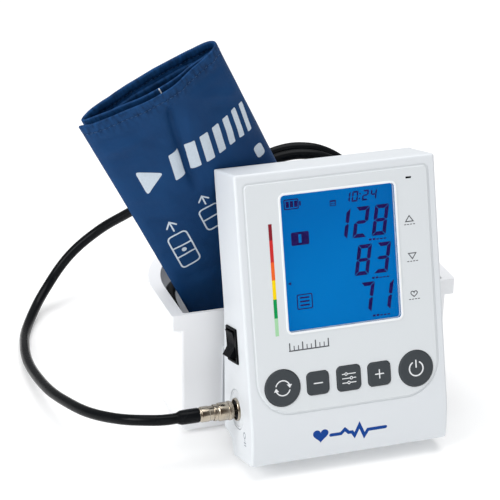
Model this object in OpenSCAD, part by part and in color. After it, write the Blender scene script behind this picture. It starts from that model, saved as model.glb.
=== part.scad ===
// Tabletop automatic blood pressure monitor: sloped unit, basket behind it,
// rolled arm cuff standing in the basket, air hose coiled beside the cuff.
// Millimetres. X right, Y back, Z up, origin at the centre of the basket's underside.
// Pieces of the unit are drawn in slab coordinates: X across, Y = depth d behind
// the face, Z = v up along the face; module S() puts them in place.

/* [Unit] */
// width of the unit across its face
unit_w = 140; // [136:1:144]
// face angle from the vertical, leaning back
face_tilt = 15.9; // [14:0.1:18]
// wall thickness of both housings
wall = 2.5; // [2:0.1:3]
// depth of the front housing, face to seam
seam_d = 38.5; // [36:0.5:40]
// depth of the unit at its top, face to back
back_d = 41.5; // [40:0.5:44]
// top end of the face, measured up the slope
top_v = 174.5; // [172:0.5:178]
// bottom end of the face, measured up the slope
bot_v = -20.5; // [-22:0.5:-19]
// radius of the curved chin under the face
chin_r = 90; // [70:5:120]

/* [Face] */
// half width of the face plate
plate_x = 64.8; // [62:0.1:66]
// bottom of the face plate
plate_v0 = 15; // [13:0.5:17]
// top of the face plate
plate_v1 = 168.5; // [165:0.5:170]
// half width of the display window
win_x = 39.6; // [36:0.1:42]
// bottom of the display window
win_v0 = 67.8; // [64:0.1:70]
// top of the display window
win_v1 = 158.1; // [155:0.1:160]
// radius of the two round buttons
round_r = 12.3; // [11:0.1:13]
// height of the button row on the face
button_v = 31.8; // [30:0.1:34]
// travel of every button
travel = 0.9; // [0.6:0.1:0.9]

/* [Power switch] */
// height of the switch opening along the face
sw_len = 24; // [22:1:26]
// width of the switch opening
sw_wid = 21; // [19:1:22]
// how far the rocker is turned at rest
rock_deg = 10; // [8:1:12]

/* [Air connector] */
// depth of the connector's axis behind the face
air_d = 28.2; // [27:0.1:30]
// height of the connector's axis along the face
air_v = 14.7; // [14:0.1:17]
// outside diameter of the air hose
hose_dia = 7.4; // [6:0.1:8]

/* [Basket] */
// half width of the basket body
bk_x = 97; // [94:1:100]
// back corner radius of the basket body
bk_r = 69; // [65:1:72]
// height of the basket
bk_h = 92.5; // [88:0.5:96]
// wall of the basket
bk_wall = 2.5; // [2:0.1:3]
// how far the rolled lip stands out
lip = 6; // [4:0.5:7]
// height of the lip's skirt
lip_h = 11.5; // [9:0.5:13]

/* [Cuff] */
// width of the flattened roll
cuff_w = 105; // [100:1:112]
// thickness of the flattened roll
cuff_t = 24; // [22:1:26]
// width of the cuff's cloth, along the arm
cuff_l = 190; // [180:1:200]
// thickness of the wound layers
cuff_wall = 5; // [4:0.5:6]

/* [Hidden] */
$fn = 64;
ux = unit_w / 2;
hose_r = hose_dia / 2;
air_y = air_d * cos(face_tilt) + air_v * sin(face_tilt) - 128.5;
air_z = air_v * cos(face_tilt) - air_d * sin(face_tilt) + 31.91;
screw_spots = [[61, 169.5], [61, 90], [61, 0]];
cell_x = [12.5, 27, 41.5, 56];
board_spots = [[52, 58], [52, 150]];
cuff_at = [-26.3, -12.5, 82.2];
// the two standing loops: centre, radius, lower and upper end, half thickness, turn about Z
coil_x = 17;
coil_y = 33;
coil_r = 50;
coil_z0 = 57;
coil_z1 = 114.6;
coil_t = 7.6;
coil_a = 10;
port_end = cuff_point([0, 2.5 - cuff_t / 2, -14]);
port_dir = cuff_point([0, 0, 1]) - cuff_point([0, 0, 0]);
lead_pts = [[-112, air_y, air_z], [-118, air_y, air_z], [-134, -91, 37], [-154, -66, 30], [-169, -22, 21],
            [-174.4, 26, 13], [-171, 84, 7.2], [-153, 138.5, 5.5], [-136, 162, 15], [-114, 170, 38], [-93, 166, 57],
            [-75, 151, 75], [-58, 129, 95], [-46, 105, 112], [-38.5, 84, 118], [-33.5, 64, 112], [-31.2, 51.5, 98],
            coil_point(-coil_r, coil_t, 82)];
tail_pts = [coil_point(-coil_r, -coil_t, 112), [-35.6, 31.4, 100.6], [-40.4, 29.6, 92], [-48, 27.6, 85.8],
            [-57, 25, 82.2], [-66, 21.2, 81], [-75, 15.6, 81], [-82.4, 8, 81.6], [-87, -1, 82], [-89.6, -12, 81],
            [-89.6, -24, 77.6], [-87.6, -34.5, 69.8], [-83.2, -42.6, 58.8], [-76, -47.4, 46.8], [-66.5, -49, 35.2],
            [-55, -48.4, 25.4], [-42, -45.2, 18.2], [-28.5, -40, 17.2], [-17, -32.5, 26.6], [-11.5, -25.5, 42],
            [-14, -21.6, 57.5], port_end];

// ---- helpers ----
function unit3(a) = a / norm(a);
function coil_point(x, y, z) = [coil_x + x * cos(coil_a) + y * sin(coil_a), coil_y - x * sin(coil_a) + y * cos(coil_a), z];
function cuff_point(p) = let (b = 27.7, c = 6.5, g = 4.35,
    q = [p[0] * cos(b) - p[2] * sin(b), p[1], p[0] * sin(b) + p[2] * cos(b)],
    r = [q[0], q[1] * cos(c) - q[2] * sin(c), q[1] * sin(c) + q[2] * cos(c)])
    [r[0] * cos(g) - r[1] * sin(g), r[0] * sin(g) + r[1] * cos(g), r[2]] + cuff_at;
module S() translate([0, -128.5, 31.91]) rotate([-face_tilt, 0, 0]) children();
// drawn in (d, v), from x0 to x1
module XP(x0, x1) translate([x0, 0, 0]) rotate([90, 0, 90]) linear_extrude(x1 - x0) children();
// drawn in (x, v), from depth d0 to d1
module DP(d0, d1) translate([0, d1, 0]) rotate([90, 0, 0]) linear_extrude(d1 - d0) children();
module box(x0, x1, d0, d1, v0, v1) translate([x0, d0, v0]) cube([x1 - x0, d1 - d0, v1 - v0]);
// round bar along depth, across, and up the face
module dbar(x, v, d0, d1, r) translate([x, d1, v]) rotate([90, 0, 0]) cylinder(h = d1 - d0, r = r);
module xbar(x0, x1, d, v, r) translate([x0, d, v]) rotate([0, 90, 0]) cylinder(h = x1 - x0, r = r);
module vbar(x, d, v0, v1, r) translate([x, d, v0]) cylinder(h = v1 - v0, r = r);
module rect(x0, y0, x1, y1) translate([x0, y0]) square([x1 - x0, y1 - y0]);
// rectangle with one radius for the two lower corners and one for the two upper ones
module rrect(x0, y0, x1, y1, rb, rt) difference() {
    rect(x0, y0, x1, y1);
    for (c = [[x0, y0, 1, 1, rb], [x1, y0, -1, 1, rb], [x0, y1, 1, -1, rt], [x1, y1, -1, -1, rt]])
        translate([c[0], c[1]]) scale1(c[2], c[3]) difference() {
            rect(-1, -1, c[4], c[4]);
            translate([c[4], c[4]]) circle(c[4]);
        }
}
module scale1(sx, sy) mirror([sx < 0 ? 1 : 0, 0]) mirror([0, sy < 0 ? 1 : 0]) children();
module key2(h, g = 0) rrect(-h - g, -h - g, h + g, h + g, 3.2 + g, 3.2 + g);

// smooth run through the hose's points, and its rings
function ahead(p0, p1, p2, p3, f) = let (
    a = sqrt(norm(p1 - p0)), b = a + sqrt(norm(p2 - p1)), c = b + sqrt(norm(p3 - p2)), t = a + (b - a) * f,
    q1 = p0 * (a - t) / a + p1 * t / a, q2 = p1 * (b - t) / (b - a) + p2 * (t - a) / (b - a),
    q3 = p2 * (c - t) / (c - b) + p3 * (t - b) / (c - b),
    r1 = q1 * (b - t) / b + q2 * t / b, r2 = q2 * (c - t) / (c - a) + q3 * (t - a) / (c - a))
    r1 * (b - t) / (b - a) + r2 * (t - a) / (b - a);
function run(P) = concat([for (i = [0:len(P) - 2]) let (
    p0 = i > 0 ? P[i - 1] : 2 * P[0] - P[1], p3 = i < len(P) - 2 ? P[i + 2] : 2 * P[i + 1] - P[i],
    n = max(1, round(norm(P[i + 1] - P[i]) / 21))) for (k = [0:n - 1]) ahead(p0, P[i], P[i + 1], p3, k / n)],
    [P[len(P) - 1]]);
function along(Q, first, last) = [for (i = [0:len(Q) - 1])
    i == 0 ? first : i == len(Q) - 1 ? last : unit3(Q[i + 1] - Q[i - 1])];
function carry(T, i, s, out) = i == len(T) ? out :
    let (n = unit3(s - T[i] * (s * T[i]))) carry(T, i + 1, n, concat(out, [n]));
module hose(P, first, last) {
    Q = run(P);
    T = along(Q, first, last);
    N = carry(T, 0, cross(T[0], [0.2, 0.3, 1]), []);
    m = 10;
    pts = [for (i = [0:len(Q) - 1]) for (k = [0:m - 1])
        Q[i] + hose_r * (cos(36 * k) * N[i] + sin(36 * k) * cross(T[i], N[i]))];
    e = (len(Q) - 1) * m;
    polyhedron(points = pts, faces = concat(
        [[for (k = [0:m - 1]) k]], [[for (k = [0:m - 1]) e + m - 1 - k]],
        [for (i = [0:len(Q) - 2]) for (k = [0:m - 1]) let (j = (k + 1) % m)
            each [[i * m + k, (i + 1) * m + k, (i + 1) * m + j], [i * m + k, (i + 1) * m + j, i * m + j]]]));
}

// ---- profiles ----
module front_profile(o) {
    rect(o, 12, seam_d + (o > 0 ? 1 : 0), top_v - o);
    intersection() {
        translate([chin_r, 12]) circle(chin_r - o, $fn = 180);
        rect(0, bot_v + o, seam_d + (o > 0 ? 1 : 0), 12.01);
    }
}
module rear_outer() polygon([[seam_d, top_v], [back_d, top_v], [back_d, 80], [59.7, -4.7], [50, -6.6], [45, -9.5],
    [43.5, -14], [43.5, -18.5], [41.5, bot_v], [seam_d, bot_v]]);
module rear_inner() polygon([[seam_d - 1, top_v - wall], [back_d - wall, top_v - wall], [back_d - wall, 79.8],
    [56.6, -2.7], [49.3, -4.2], [43.3, -7.9], [41, -13.5], [41, bot_v + wall], [seam_d - 1, bot_v + wall]]);
module window2(g) rrect(-win_x - g, win_v0 - g, win_x + g, win_v1 + g, 2.5, 2.5);
module face_holes(g) {
    for (s = [-1, 1]) translate([47.35 * s + 0.5, button_v]) circle(round_r + g);
    translate([-22.1, button_v]) key2(7.7, g);
    translate([-0.3, button_v + 0.3]) key2(8.4, g);
    translate([21.4, button_v + 0.1]) key2(8, g);
}
module basket2(x, r, f, k) {
    // straight front at y = f with small corners, back corners of radius r
    difference() {
        rect(-x, f, x, -12);
        for (s = [-1, 1]) translate([s * x, f]) scale1(-s, 1) difference() {
            rect(-1, -1, k, k);
            translate([k, k]) circle(k);
        }
    }
    intersection() {
        union() for (s = [-1, 1]) translate([28 * s, -12]) circle(r, $fn = 128);
        rect(-x - 1, -12.5, x + 1, 80);
    }
    rect(-28, -13, 28, r - 12);
}

// ---- housings and face ----
module front_housing() color([0.87, 0.89, 0.91]) S() difference() {
    union() {
        difference() {
            XP(-ux, ux) front_profile(0);
            XP(-ux + wall, ux - wall) front_profile(wall);
        }
        for (s = [-1, 1]) {
            for (p = screw_spots) dbar(s * p[0], p[1], p[1] < 10 ? 3.5 : wall - 0.5, seam_d, 3.5);
            for (p = board_spots) dbar(s * p[0], p[1], wall - 0.5, 11, 3);
        }
    }
    DP(-1, 1.2) rrect(-plate_x - 0.25, plate_v0 - 0.25, plate_x + 0.25, plate_v1 + 0.25, 25, 4);
    DP(1, 4) rrect(-win_x + 0.9, win_v0 + 0.9, win_x - 0.9, win_v1 - 0.9, 2, 2);
    DP(1, 4) face_holes(0.3);
    box(48.2, 52.2, 0, 4, 159.9, 161.2);
    for (s = [-1, 1]) {
        for (p = screw_spots) dbar(s * p[0], p[1], seam_d - 12, seam_d + 1, 1.35);
        for (p = board_spots) dbar(s * p[0], p[1], 5, 12, 1);
    }
    // power switch, air socket and mains adapter openings
    box(-ux - 1, -ux + wall + 1, 27 - sw_wid / 2 + 1, 27 + sw_wid / 2 - 1, 59 - sw_len / 2 + 1, 59 + sw_len / 2 - 1);
    xbar(-ux - 1, -ux + 1.2, air_d, air_v, 13.7);
    xbar(-ux - 1, -ux + wall + 1, air_d, air_v, 6.2);
    xbar(ux - wall - 1, ux + 1, 28, 20, 5.6);
}
module rear_housing() color([0.85, 0.87, 0.9]) S() difference() {
    union() {
        difference() {
            XP(-ux, ux) rear_outer();
            XP(-ux + wall, ux - wall) rear_inner();
        }
        // battery well
        box(2.5, ux - wall - 0.3, 21, back_d - 1, 104.5, 164.5);
        // screw wells
        for (s = [-1, 1]) for (p = screw_spots) dbar(s * p[0], p[1], seam_d, p[1] < 10 ? 57 : back_d - 1, 4.5);
    }
    box(4, 65.6, 22.5, back_d + 1, 106, 163);
    vbar(64.2, 40.3, 105, 164, 1.3);
    for (s = [-1, 1]) for (p = screw_spots) {
        dbar(s * p[0], p[1], seam_d - 1, 62, 1.6);
        dbar(s * p[0], p[1], p[1] < 10 ? 43 : seam_d + 1.2, 62, 3.2);
    }
    xbar(-ux - 1, -ux + 1.2, air_d, air_v, 13.7);
    // bracket screw pilots
    for (s = [-1, 1]) translate([s * 45, 0, 0]) xz_pilot();
}
// pilot bores run straight back in the row frame, so they are undone from the slope
module xz_pilot() rotate([face_tilt, 0, 0]) translate([0, 128.5, -31.91])
    translate([0, -78, 40]) rotate([-90, 0, 0]) cylinder(h = 10, r = 1.6);
module faceplate() color([0.84, 0.86, 0.88]) S() difference() {
    DP(-0.6, 1.2) rrect(-plate_x, plate_v0, plate_x, plate_v1, 25, 4);
    DP(-1, 2) window2(0.15);
    DP(-1, 2) face_holes(0.3);
    box(48.2, 52.2, -1, 2, 159.9, 161.2);
}
module display_window() color([0.05, 0.42, 0.7, 0.6]) S() DP(-0.3, 1.2) window2(0);
module status_window() color([0.06, 0.06, 0.07]) S() box(48.2, 52.2, -0.5, 2.5, 159.9, 161.2);

// ---- display ----
module lcd_panel() color([0, 0.4, 0.7]) S() box(-40.5, 40.5, 2.9, 5.1, 65.5, 160.5);
module lcd_backlight() color([0.9, 0.95, 1]) S() box(-40.5, 40.5, 5.1, 9.6, 65.5, 160.5);
module lcd_frame() color([0.8, 0.8, 0.8]) S() difference() {
    box(-43, 43, 2.6, 11, 63, 163);
    box(-40.5, 40.5, 2.9, 9.6, 65.5, 160.5);
    box(-39.9, 39.9, 2, 3, 67.2, 158.8);
    box(-36, 36, 9, 12, 70, 156);
    box(-50, 50, 10.2, 12, 72, 154);
}

// ---- keys ----
module key() {
    DP(-1.4, 2.8) children(0);
    DP(2.8, 4) children(1);
}
module button_mode() color([0.24, 0.26, 0.28]) S() translate([-46.85, 0, button_v]) {
    key() { circle(round_r); circle(round_r + 1.3); }
    dbar(0, 0, 4, 5.2, 3);
}
module button_start() color([0.24, 0.26, 0.28]) S() translate([47.85, 0, button_v]) {
    key() { circle(round_r); circle(round_r + 1.3); }
    dbar(0, 0, 4, 5.2, 3);
}
module button_minus() color([0.24, 0.26, 0.28]) S() translate([-22.1, 0, button_v]) {
    key() { key2(7.7); key2(7.7, 1.2); }
    dbar(0, 0, 4, 5.2, 3);
}
module button_set() color([0.24, 0.26, 0.28]) S() translate([-0.3, 0, button_v + 0.3]) {
    key() { key2(8.4); key2(8.4, 1); }
    dbar(0, 0, 4, 5.2, 3);
}
module button_plus() color([0.24, 0.26, 0.28]) S() translate([21.4, 0, button_v + 0.1]) {
    key() { key2(8); key2(8, 1.2); }
    dbar(0, 0, 4, 5.2, 3);
}
key_x = [-46.85, -22.1, -0.3, 21.4, 47.85];
module keypad_mat() color([0.75, 0.76, 0.78]) S() difference() {
    union() {
        box(-56, 56, 9.8, 11, 19, 45);
        for (x = key_x) dbar(x, button_v, 6.4, 10, 4.5);
    }
    for (x = key_x) dbar(x, button_v, 8.2, 12, 3);
}
module dome_switches() color([0.75, 0.75, 0.77]) S() for (x = key_x) dbar(x, button_v, 10.5, 11, 2.6);

// ---- electronics ----
module main_board() color([0.07, 0.33, 0.19]) S() difference() {
    box(-56.5, 56.5, 11, 12.6, 14.5, 158);
    for (s = [-1, 1]) for (p = board_spots) dbar(s * p[0], p[1], 10, 14, 1);
}
module board_components() color([0.1, 0.1, 0.11]) S() {
    box(-12, 2, 12.6, 14, 88, 102);
    box(14, 24, 12.6, 14, 90, 100);
    box(-34, -26, 12.6, 15, 74, 82);
    dbar(34, 74, 12.6, 19, 4);
    dbar(44, 74, 12.6, 19, 4);
    dbar(-42, 96, 12.6, 16, 3);
}
module pressure_sensor() color([0.12, 0.12, 0.13]) S() {
    box(-16, -4, 12.6, 17, 9 + 6.5, 21.5);
    dbar(-10, 17, 17, 20, 1.4);
}
module buzzer() color([0.1, 0.1, 0.1]) S() difference() {
    dbar(-44, 116, 12.6, 17, 6);
    dbar(-44, 116, 16, 18, 1);
}
module pump_motor() color([0.7, 0.71, 0.73]) S() difference() {
    union() {
        xbar(-36, -4, 30, 50, 12);
        xbar(-38, -36, 30, 50, 4);
    }
    xbar(-39, -3, 30, 50, 1.05);
}
module pump_head() color([0.15, 0.16, 0.17]) S() difference() {
    union() {
        box(-4, 22, 18, 42, 38, 62);
        vbar(9, 30, 34, 38, 2);
    }
    xbar(-5, 0, 30, 50, 1.05);
    xbar(0, 10, 30, 50, 8);
    xbar(10, 18, 30, 50, 1.05);
}
module pump_shaft() color([0.6, 0.6, 0.62]) S() {
    xbar(-40, 17, 30, 50, 1);
    xbar(2, 8, 30, 50, 6);
}
module exhaust_valve() color([0.8, 0.8, 0.78]) S() difference() {
    union() {
        box(34, 50, 22, 38, 42, 62);
        vbar(42, 30, 34, 42, 2);
    }
    vbar(42, 30, 47, 63, 2.05);
    vbar(42, 30, 33, 47, 0.8);
}
module valve_plunger() color([0.72, 0.72, 0.74]) S() {
    vbar(42, 30, 48.5, 64.5, 2);
    vbar(42, 30, 63.3, 64.5, 4);
}
module air_manifold() color([0.75, 0.77, 0.8]) S() difference() {
    box(-20, 50, 24, 36, 8, 22);
    xbar(-21, 48, 28.2, 14.7, 1.4);
    vbar(9, 30, 14.7, 23, 1.4);
    vbar(42, 30, 14.7, 23, 1.4);
    dbar(-10, 17, 23, 28.2, 1.4);
}
module internal_tubes() color([0.85, 0.87, 0.88]) S() {
    difference() { xbar(-52, -20, 28.2, 14.7, 2.8); xbar(-53, -19, 28.2, 14.7, 1.4); }
    difference() { vbar(9, 30, 22, 34, 2.8); vbar(9, 30, 21, 35, 1.4); }
    difference() { vbar(42, 30, 22, 34, 2.8); vbar(42, 30, 21, 35, 1.4); }
    difference() { dbar(-10, 17, 20, 24, 2.8); dbar(-10, 17, 19, 25, 1.4); }
}

// ---- power ----
module battery_door() color([0.84, 0.86, 0.89]) S() difference() {
    union() {
        box(4.4, 64.2, back_d - wall, back_d, 106.4, 162.6);
        vbar(64.2, 40.3, 105.2, 163.8, 1.2);
    }
    box(8, 12, back_d - 0.8, back_d + 1, 126, 143);
}
module batteries() color([0.55, 0.57, 0.6]) S() for (i = [0:3]) {
    up = i % 2 == 0;
    vbar(cell_x[i], 30.5, up ? 109.6 : 110.2, up ? 158.8 : 159.4, 7.2);
    vbar(cell_x[i], 30.5, up ? 158.8 : 109, up ? 160 : 110.2, 2.7);
}
module battery_contacts() color([0.8, 0.8, 0.82]) S() {
    for (v = [106.8, 161.6]) box(6, 63, 24, 37, v, v + 0.6);
    for (i = [0:3]) {
        up = i % 2 == 0;
        vbar(cell_x[i], 30.5, 107.4, up ? 109.6 : 109, 2.5);
        vbar(cell_x[i], 30.5, up ? 160 : 159.4, 161.6, 2.5);
    }
}
module switch_body() color([0.09, 0.09, 0.1]) S() difference() {
    union() {
        box(-ux - 1.2, -ux, 27 - sw_wid / 2, 27 + sw_wid / 2, 59 - sw_len / 2, 59 + sw_len / 2);
        box(-ux, -ux + 16, 27 - sw_wid / 2 + 1, 27 + sw_wid / 2 - 1, 59 - sw_len / 2 + 1, 59 + sw_len / 2 - 1);
        for (v = [53, 65]) box(-ux + 16, -ux + 22, 24.5, 29.5, v - 0.4, v + 0.4);
    }
    box(-ux - 2, -ux + 12, 27 - 7.8, 27 + 7.8, 59 - 10.2, 59 + 10.2);
    dbar(-ux + 3, 59, 18.4, 35.6, 1.35);
}
module power_rocker() color([0.08, 0.08, 0.09]) S() translate([-ux + 3, 0, 59]) rotate([0, rock_deg, 0]) {
    // profile in (x, v) about the pivot, with a pivot pin through it
    translate([0, 34.4, 0]) rotate([90, 0, 0]) linear_extrude(14.8)
        polygon([[-7.2, -8.6], [-4, 0], [-7.2, 8.6], [-1, 8.2], [3.4, 2], [3.4, -2], [-1, -8.2]]);
    dbar(0, 0, 18.6, 35.4, 1.2);
}
module dc_jack() color([0.09, 0.09, 0.1]) S() difference() {
    xbar(ux - 14, ux + 0.4, 28, 20, 5.5);
    xbar(ux - 10, ux + 1, 28, 20, 2.8);
}

// ---- air connector and hose ----
module socket_flange() color([0.8, 0.82, 0.84]) S() difference() {
    xbar(-ux + 0.1, -ux + 1.2, air_d, air_v, 13.5);
    xbar(-ux - 1, -ux + 2, air_d, air_v, 6.2);
}
module air_socket() color([0.08, 0.08, 0.09]) S() difference() {
    union() {
        xbar(-ux - 3, -ux + 0.1, air_d, air_v, 8);
        xbar(-ux + 0.1, -52, air_d, air_v, 6.1);
    }
    xbar(-ux - 4, -57, air_d, air_v, 3.6);
    xbar(-58, -51, air_d, air_v, 1.4);
}
module hose_plug() color([0.72, 0.71, 0.68]) S() difference() {
    union() {
        xbar(-97, -ux - 3, air_d, air_v, 5.2);
        xbar(-ux - 3, -58, air_d, air_v, 3.5);
    }
    xbar(-98, -57, air_d, air_v, 1.6);
}
module plug_collar() color([0.74, 0.73, 0.7]) S() difference() {
    union() {
        xbar(-87, -73.3, air_d, air_v, 6.2);
        xbar(-78, -76, air_d, air_v, 6.7);
    }
    xbar(-88, -73, air_d, air_v, 5.25);
}
module hose_sleeve() color([0.08, 0.08, 0.09]) S() difference() {
    union() {
        xbar(-109, -97, air_d, air_v, 5);
        translate([-112, air_d, air_v]) rotate([0, 90, 0]) cylinder(h = 3, r1 = hose_r, r2 = 5);
    }
    xbar(-113, -96, air_d, air_v, 1.6);
}
module hose_lead() color([0.07, 0.07, 0.08]) hose(lead_pts, [-1, 0, 0], [-sin(coil_a), -cos(coil_a), 0]);
module hose_loops() color([0.07, 0.07, 0.08]) translate([coil_x, coil_y, 0]) rotate([0, 0, -coil_a])
    translate([0, coil_t, 0]) rotate([90, 0, 0]) linear_extrude(2 * coil_t)
    difference() { loop2(coil_r + hose_r); loop2(coil_r - hose_r); }
module loop2(r) {
    for (z = [coil_z0, coil_z1]) translate([0, z]) circle(r, $fn = 96);
    rect(-r, coil_z0, r, coil_z1);
}
module hose_tail() color([0.07, 0.07, 0.08]) hose(tail_pts, [-sin(coil_a), -cos(coil_a), 0], port_dir);

// ---- fixings and feet ----
module housing_screws() color([0.6, 0.6, 0.62]) S() for (s = [-1, 1]) for (p = screw_spots) {
    h = p[1] < 10 ? 43 : seam_d + 1.2;
    dbar(s * p[0], p[1], h - 10 - (p[1] < 10 ? 4.5 : 0), h, 1.3);
    difference() {
        dbar(s * p[0], p[1], h, h + 1.6, 2.8);
        dbar(s * p[0], p[1], h + 0.8, h + 2, 0.8);
    }
}
module unit_feet() color([0.15, 0.15, 0.16]) S() for (s = [-1, 1])
    box(s > 0 ? 38 : -58, s > 0 ? 58 : -38, 32, 41, bot_v - 1, bot_v);

// ---- basket ----
module basket() color([0.93, 0.94, 0.95]) difference() {
    union() {
        linear_extrude(bk_h) basket2(bk_x, bk_r, -57, 2.5);
        translate([0, 0, bk_h - lip_h]) linear_extrude(lip_h) basket2(bk_x + lip, bk_r + lip, -57, 1.4);
    }
    translate([0, 0, bk_wall]) linear_extrude(bk_h) basket2(bk_x - bk_wall, bk_r - bk_wall, -57 + bk_wall, 1.5);
    // hollow behind the lip's skirt
    translate([0, 0, bk_h - lip_h - 1]) linear_extrude(lip_h - bk_wall + 1) difference() {
        basket2(bk_x + lip - bk_wall, bk_r + lip - bk_wall, -57 + bk_wall, 1);
        basket2(bk_x, bk_r, -58, 2.5);
    }
    for (s = [-1, 1]) translate([45 * s, -60, 40]) rotate([-90, 0, 0]) cylinder(h = 8, r = 2.1);
}
module basket_bracket() color([0.78, 0.8, 0.82]) difference() {
    translate([-67, 0, 0]) rotate([90, 0, 90]) linear_extrude(134) difference() {
        polygon([[-72.1, 14], [-57, 14], [-57, 66], [-68.7, 66]]);
        polygon([[-70.4, 15.6], [-58.6, 15.6], [-58.6, 64.4], [-67.2, 64.4]]);
    }
    for (s = [-1, 1]) translate([45 * s, -75, 40]) rotate([-90, 0, 0]) cylinder(h = 20, r = 2.1);
}
module bracket_screws() color([0.62, 0.62, 0.64]) for (s = [-1, 1]) {
    // into the unit, heads inside the bracket
    translate([45 * s, -77, 40]) rotate([-90, 0, 0]) cylinder(h = 8.3, r = 1.5);
    translate([45 * s, -68.4, 40]) rotate([-90, 0, 0]) cylinder(h = 2, r = 3.4);
    // through the basket wall, head inside the basket, nut inside the bracket
    translate([45 * s, -63, 40]) rotate([-90, 0, 0]) cylinder(h = 8.5, r = 2);
    translate([45 * s, -54.5, 40]) rotate([-90, 0, 0]) cylinder(h = 2.2, r = 3.8);
    translate([45 * s, -61.2, 40]) rotate([-90, 0, 0]) cylinder(h = 2.6, r = 3.6);
}

// ---- cuff ----
module C() translate(cuff_at) rotate([0, 0, 4.35]) rotate([6.5, 0, 0]) rotate([0, -27.7, 0]) children();
module slot2(w, t) {
    for (s = [-1, 1]) translate([s * (w - t) / 2, 0]) circle(t / 2);
    rect(-(w - t) / 2, -t / 2, (w - t) / 2, t / 2);
}
module cuff() color([0.1, 0.2, 0.42]) C() difference() {
    linear_extrude(cuff_l) difference() {
        slot2(cuff_w, cuff_t);
        slot2(cuff_w - 2 * cuff_wall, cuff_t - 2 * cuff_wall);
    }
    translate([-40, 1.9 - cuff_t / 2, 10]) cube([80, 1.2, 162]);
    translate([0, 2.5 - cuff_t / 2, -1]) cylinder(h = 12, r = 2.2);
}
module cuff_bladder() color([0.12, 0.12, 0.13]) C() translate([-40, 1.9 - cuff_t / 2, 11]) cube([80, 1.2, 161]);
module cuff_port() color([0.1, 0.1, 0.11]) C() translate([0, 2.5 - cuff_t / 2, 0]) {
    translate([0, 0, -0.2]) cylinder(h = 10.2, r = 2.15);
    translate([0, 0, -14]) cylinder(h = 13.8, r = 3.7);
}

// ---- assembly ----
front_housing();
rear_housing();
faceplate();
display_window();
lcd_panel();
lcd_backlight();
lcd_frame();
button_mode();
button_minus();
button_set();
button_plus();
button_start();
keypad_mat();
dome_switches();
main_board();
board_components();
pressure_sensor();
buzzer();
pump_motor();
pump_head();
pump_shaft();
exhaust_valve();
valve_plunger();
air_manifold();
internal_tubes();
battery_door();
batteries();
battery_contacts();
switch_body();
power_rocker();
socket_flange();
air_socket();
hose_plug();
plug_collar();
hose_sleeve();
hose_lead();
hose_loops();
hose_tail();
dc_jack();
status_window();
housing_screws();
unit_feet();
basket();
basket_bracket();
bracket_screws();
cuff();
cuff_bladder();
cuff_port();
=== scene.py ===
# Looks for the tabletop blood pressure monitor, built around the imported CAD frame.
# Lengths in the helpers are millimetres; meshes are stored in metres.
import bisect
import math

import bmesh
import bpy
from mathutils import Matrix, Vector, noise
from mathutils.geometry import tessellate_polygon


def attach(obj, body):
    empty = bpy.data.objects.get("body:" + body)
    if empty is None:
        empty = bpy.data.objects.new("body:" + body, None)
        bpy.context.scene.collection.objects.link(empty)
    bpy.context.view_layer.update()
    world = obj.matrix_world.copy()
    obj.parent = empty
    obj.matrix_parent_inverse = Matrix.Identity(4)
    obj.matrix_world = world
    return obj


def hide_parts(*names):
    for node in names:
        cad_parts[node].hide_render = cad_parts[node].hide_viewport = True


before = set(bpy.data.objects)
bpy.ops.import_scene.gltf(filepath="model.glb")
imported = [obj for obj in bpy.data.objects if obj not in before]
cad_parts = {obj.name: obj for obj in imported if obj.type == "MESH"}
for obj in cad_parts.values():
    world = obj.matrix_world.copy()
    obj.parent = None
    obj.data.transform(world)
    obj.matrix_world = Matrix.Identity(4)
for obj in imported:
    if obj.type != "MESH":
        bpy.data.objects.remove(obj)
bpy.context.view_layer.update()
scene = bpy.context.scene
scene.view_settings.view_transform = "Standard"

MM = 0.001
TILT = math.radians(15.9)
CT, ST = math.cos(TILT), math.sin(TILT)
# slab frame of the unit: x across, d behind the face, v up the face
SLAB = Matrix(((1, 0, 0, 0), (0, CT, ST, -0.1285), (0, -ST, CT, 0.03191), (0, 0, 0, 1)))


def ease(x, a=0.0, b=1.0):
    x = min(1.0, max(0.0, (x - a) / (b - a)))
    return x * x * (3 - 2 * x)


def rot(axis, deg):
    return Matrix.Rotation(math.radians(deg), 4, axis)


# cuff frame: x across the roll, y through it (front is minus), z along the arm
CUFF = Matrix.Translation((-0.0263, -0.0125, 0.0822)) @ rot("Z", 4.35) @ rot("X", 6.5) @ rot("Y", -27.7)
# coil frame: the loops stand in its x-z plane
COIL = Matrix.Translation((0.017, 0.033, 0)) @ rot("Z", -10)

# ------------------------------------------------------------------ camera
AZ, EL, ROLL = math.radians(19.758), math.radians(24.858), math.radians(-1.377)
fwd = Vector((math.sin(AZ) * math.cos(EL), math.cos(AZ) * math.cos(EL), -math.sin(EL)))
right = fwd.cross(Vector((0, 0, 1))).normalized()
down = fwd.cross(right)
r2 = math.cos(ROLL) * right + math.sin(ROLL) * down
d2 = -math.sin(ROLL) * right + math.cos(ROLL) * down
cam = bpy.data.objects.new("camera", bpy.data.cameras.new("camera"))
cam.matrix_world = Matrix(((r2.x, -d2.x, -fwd.x, -0.4775), (r2.y, -d2.y, -fwd.y, -1.2498),
                           (r2.z, -d2.z, -fwd.z, 0.7215), (0, 0, 0, 1)))
cam.data.sensor_width = 36
cam.data.sensor_fit = "HORIZONTAL"
cam.data.lens = 151.2
cam.data.clip_start, cam.data.clip_end = 0.1, 20
scene.collection.objects.link(cam)
scene.camera = cam


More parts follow.
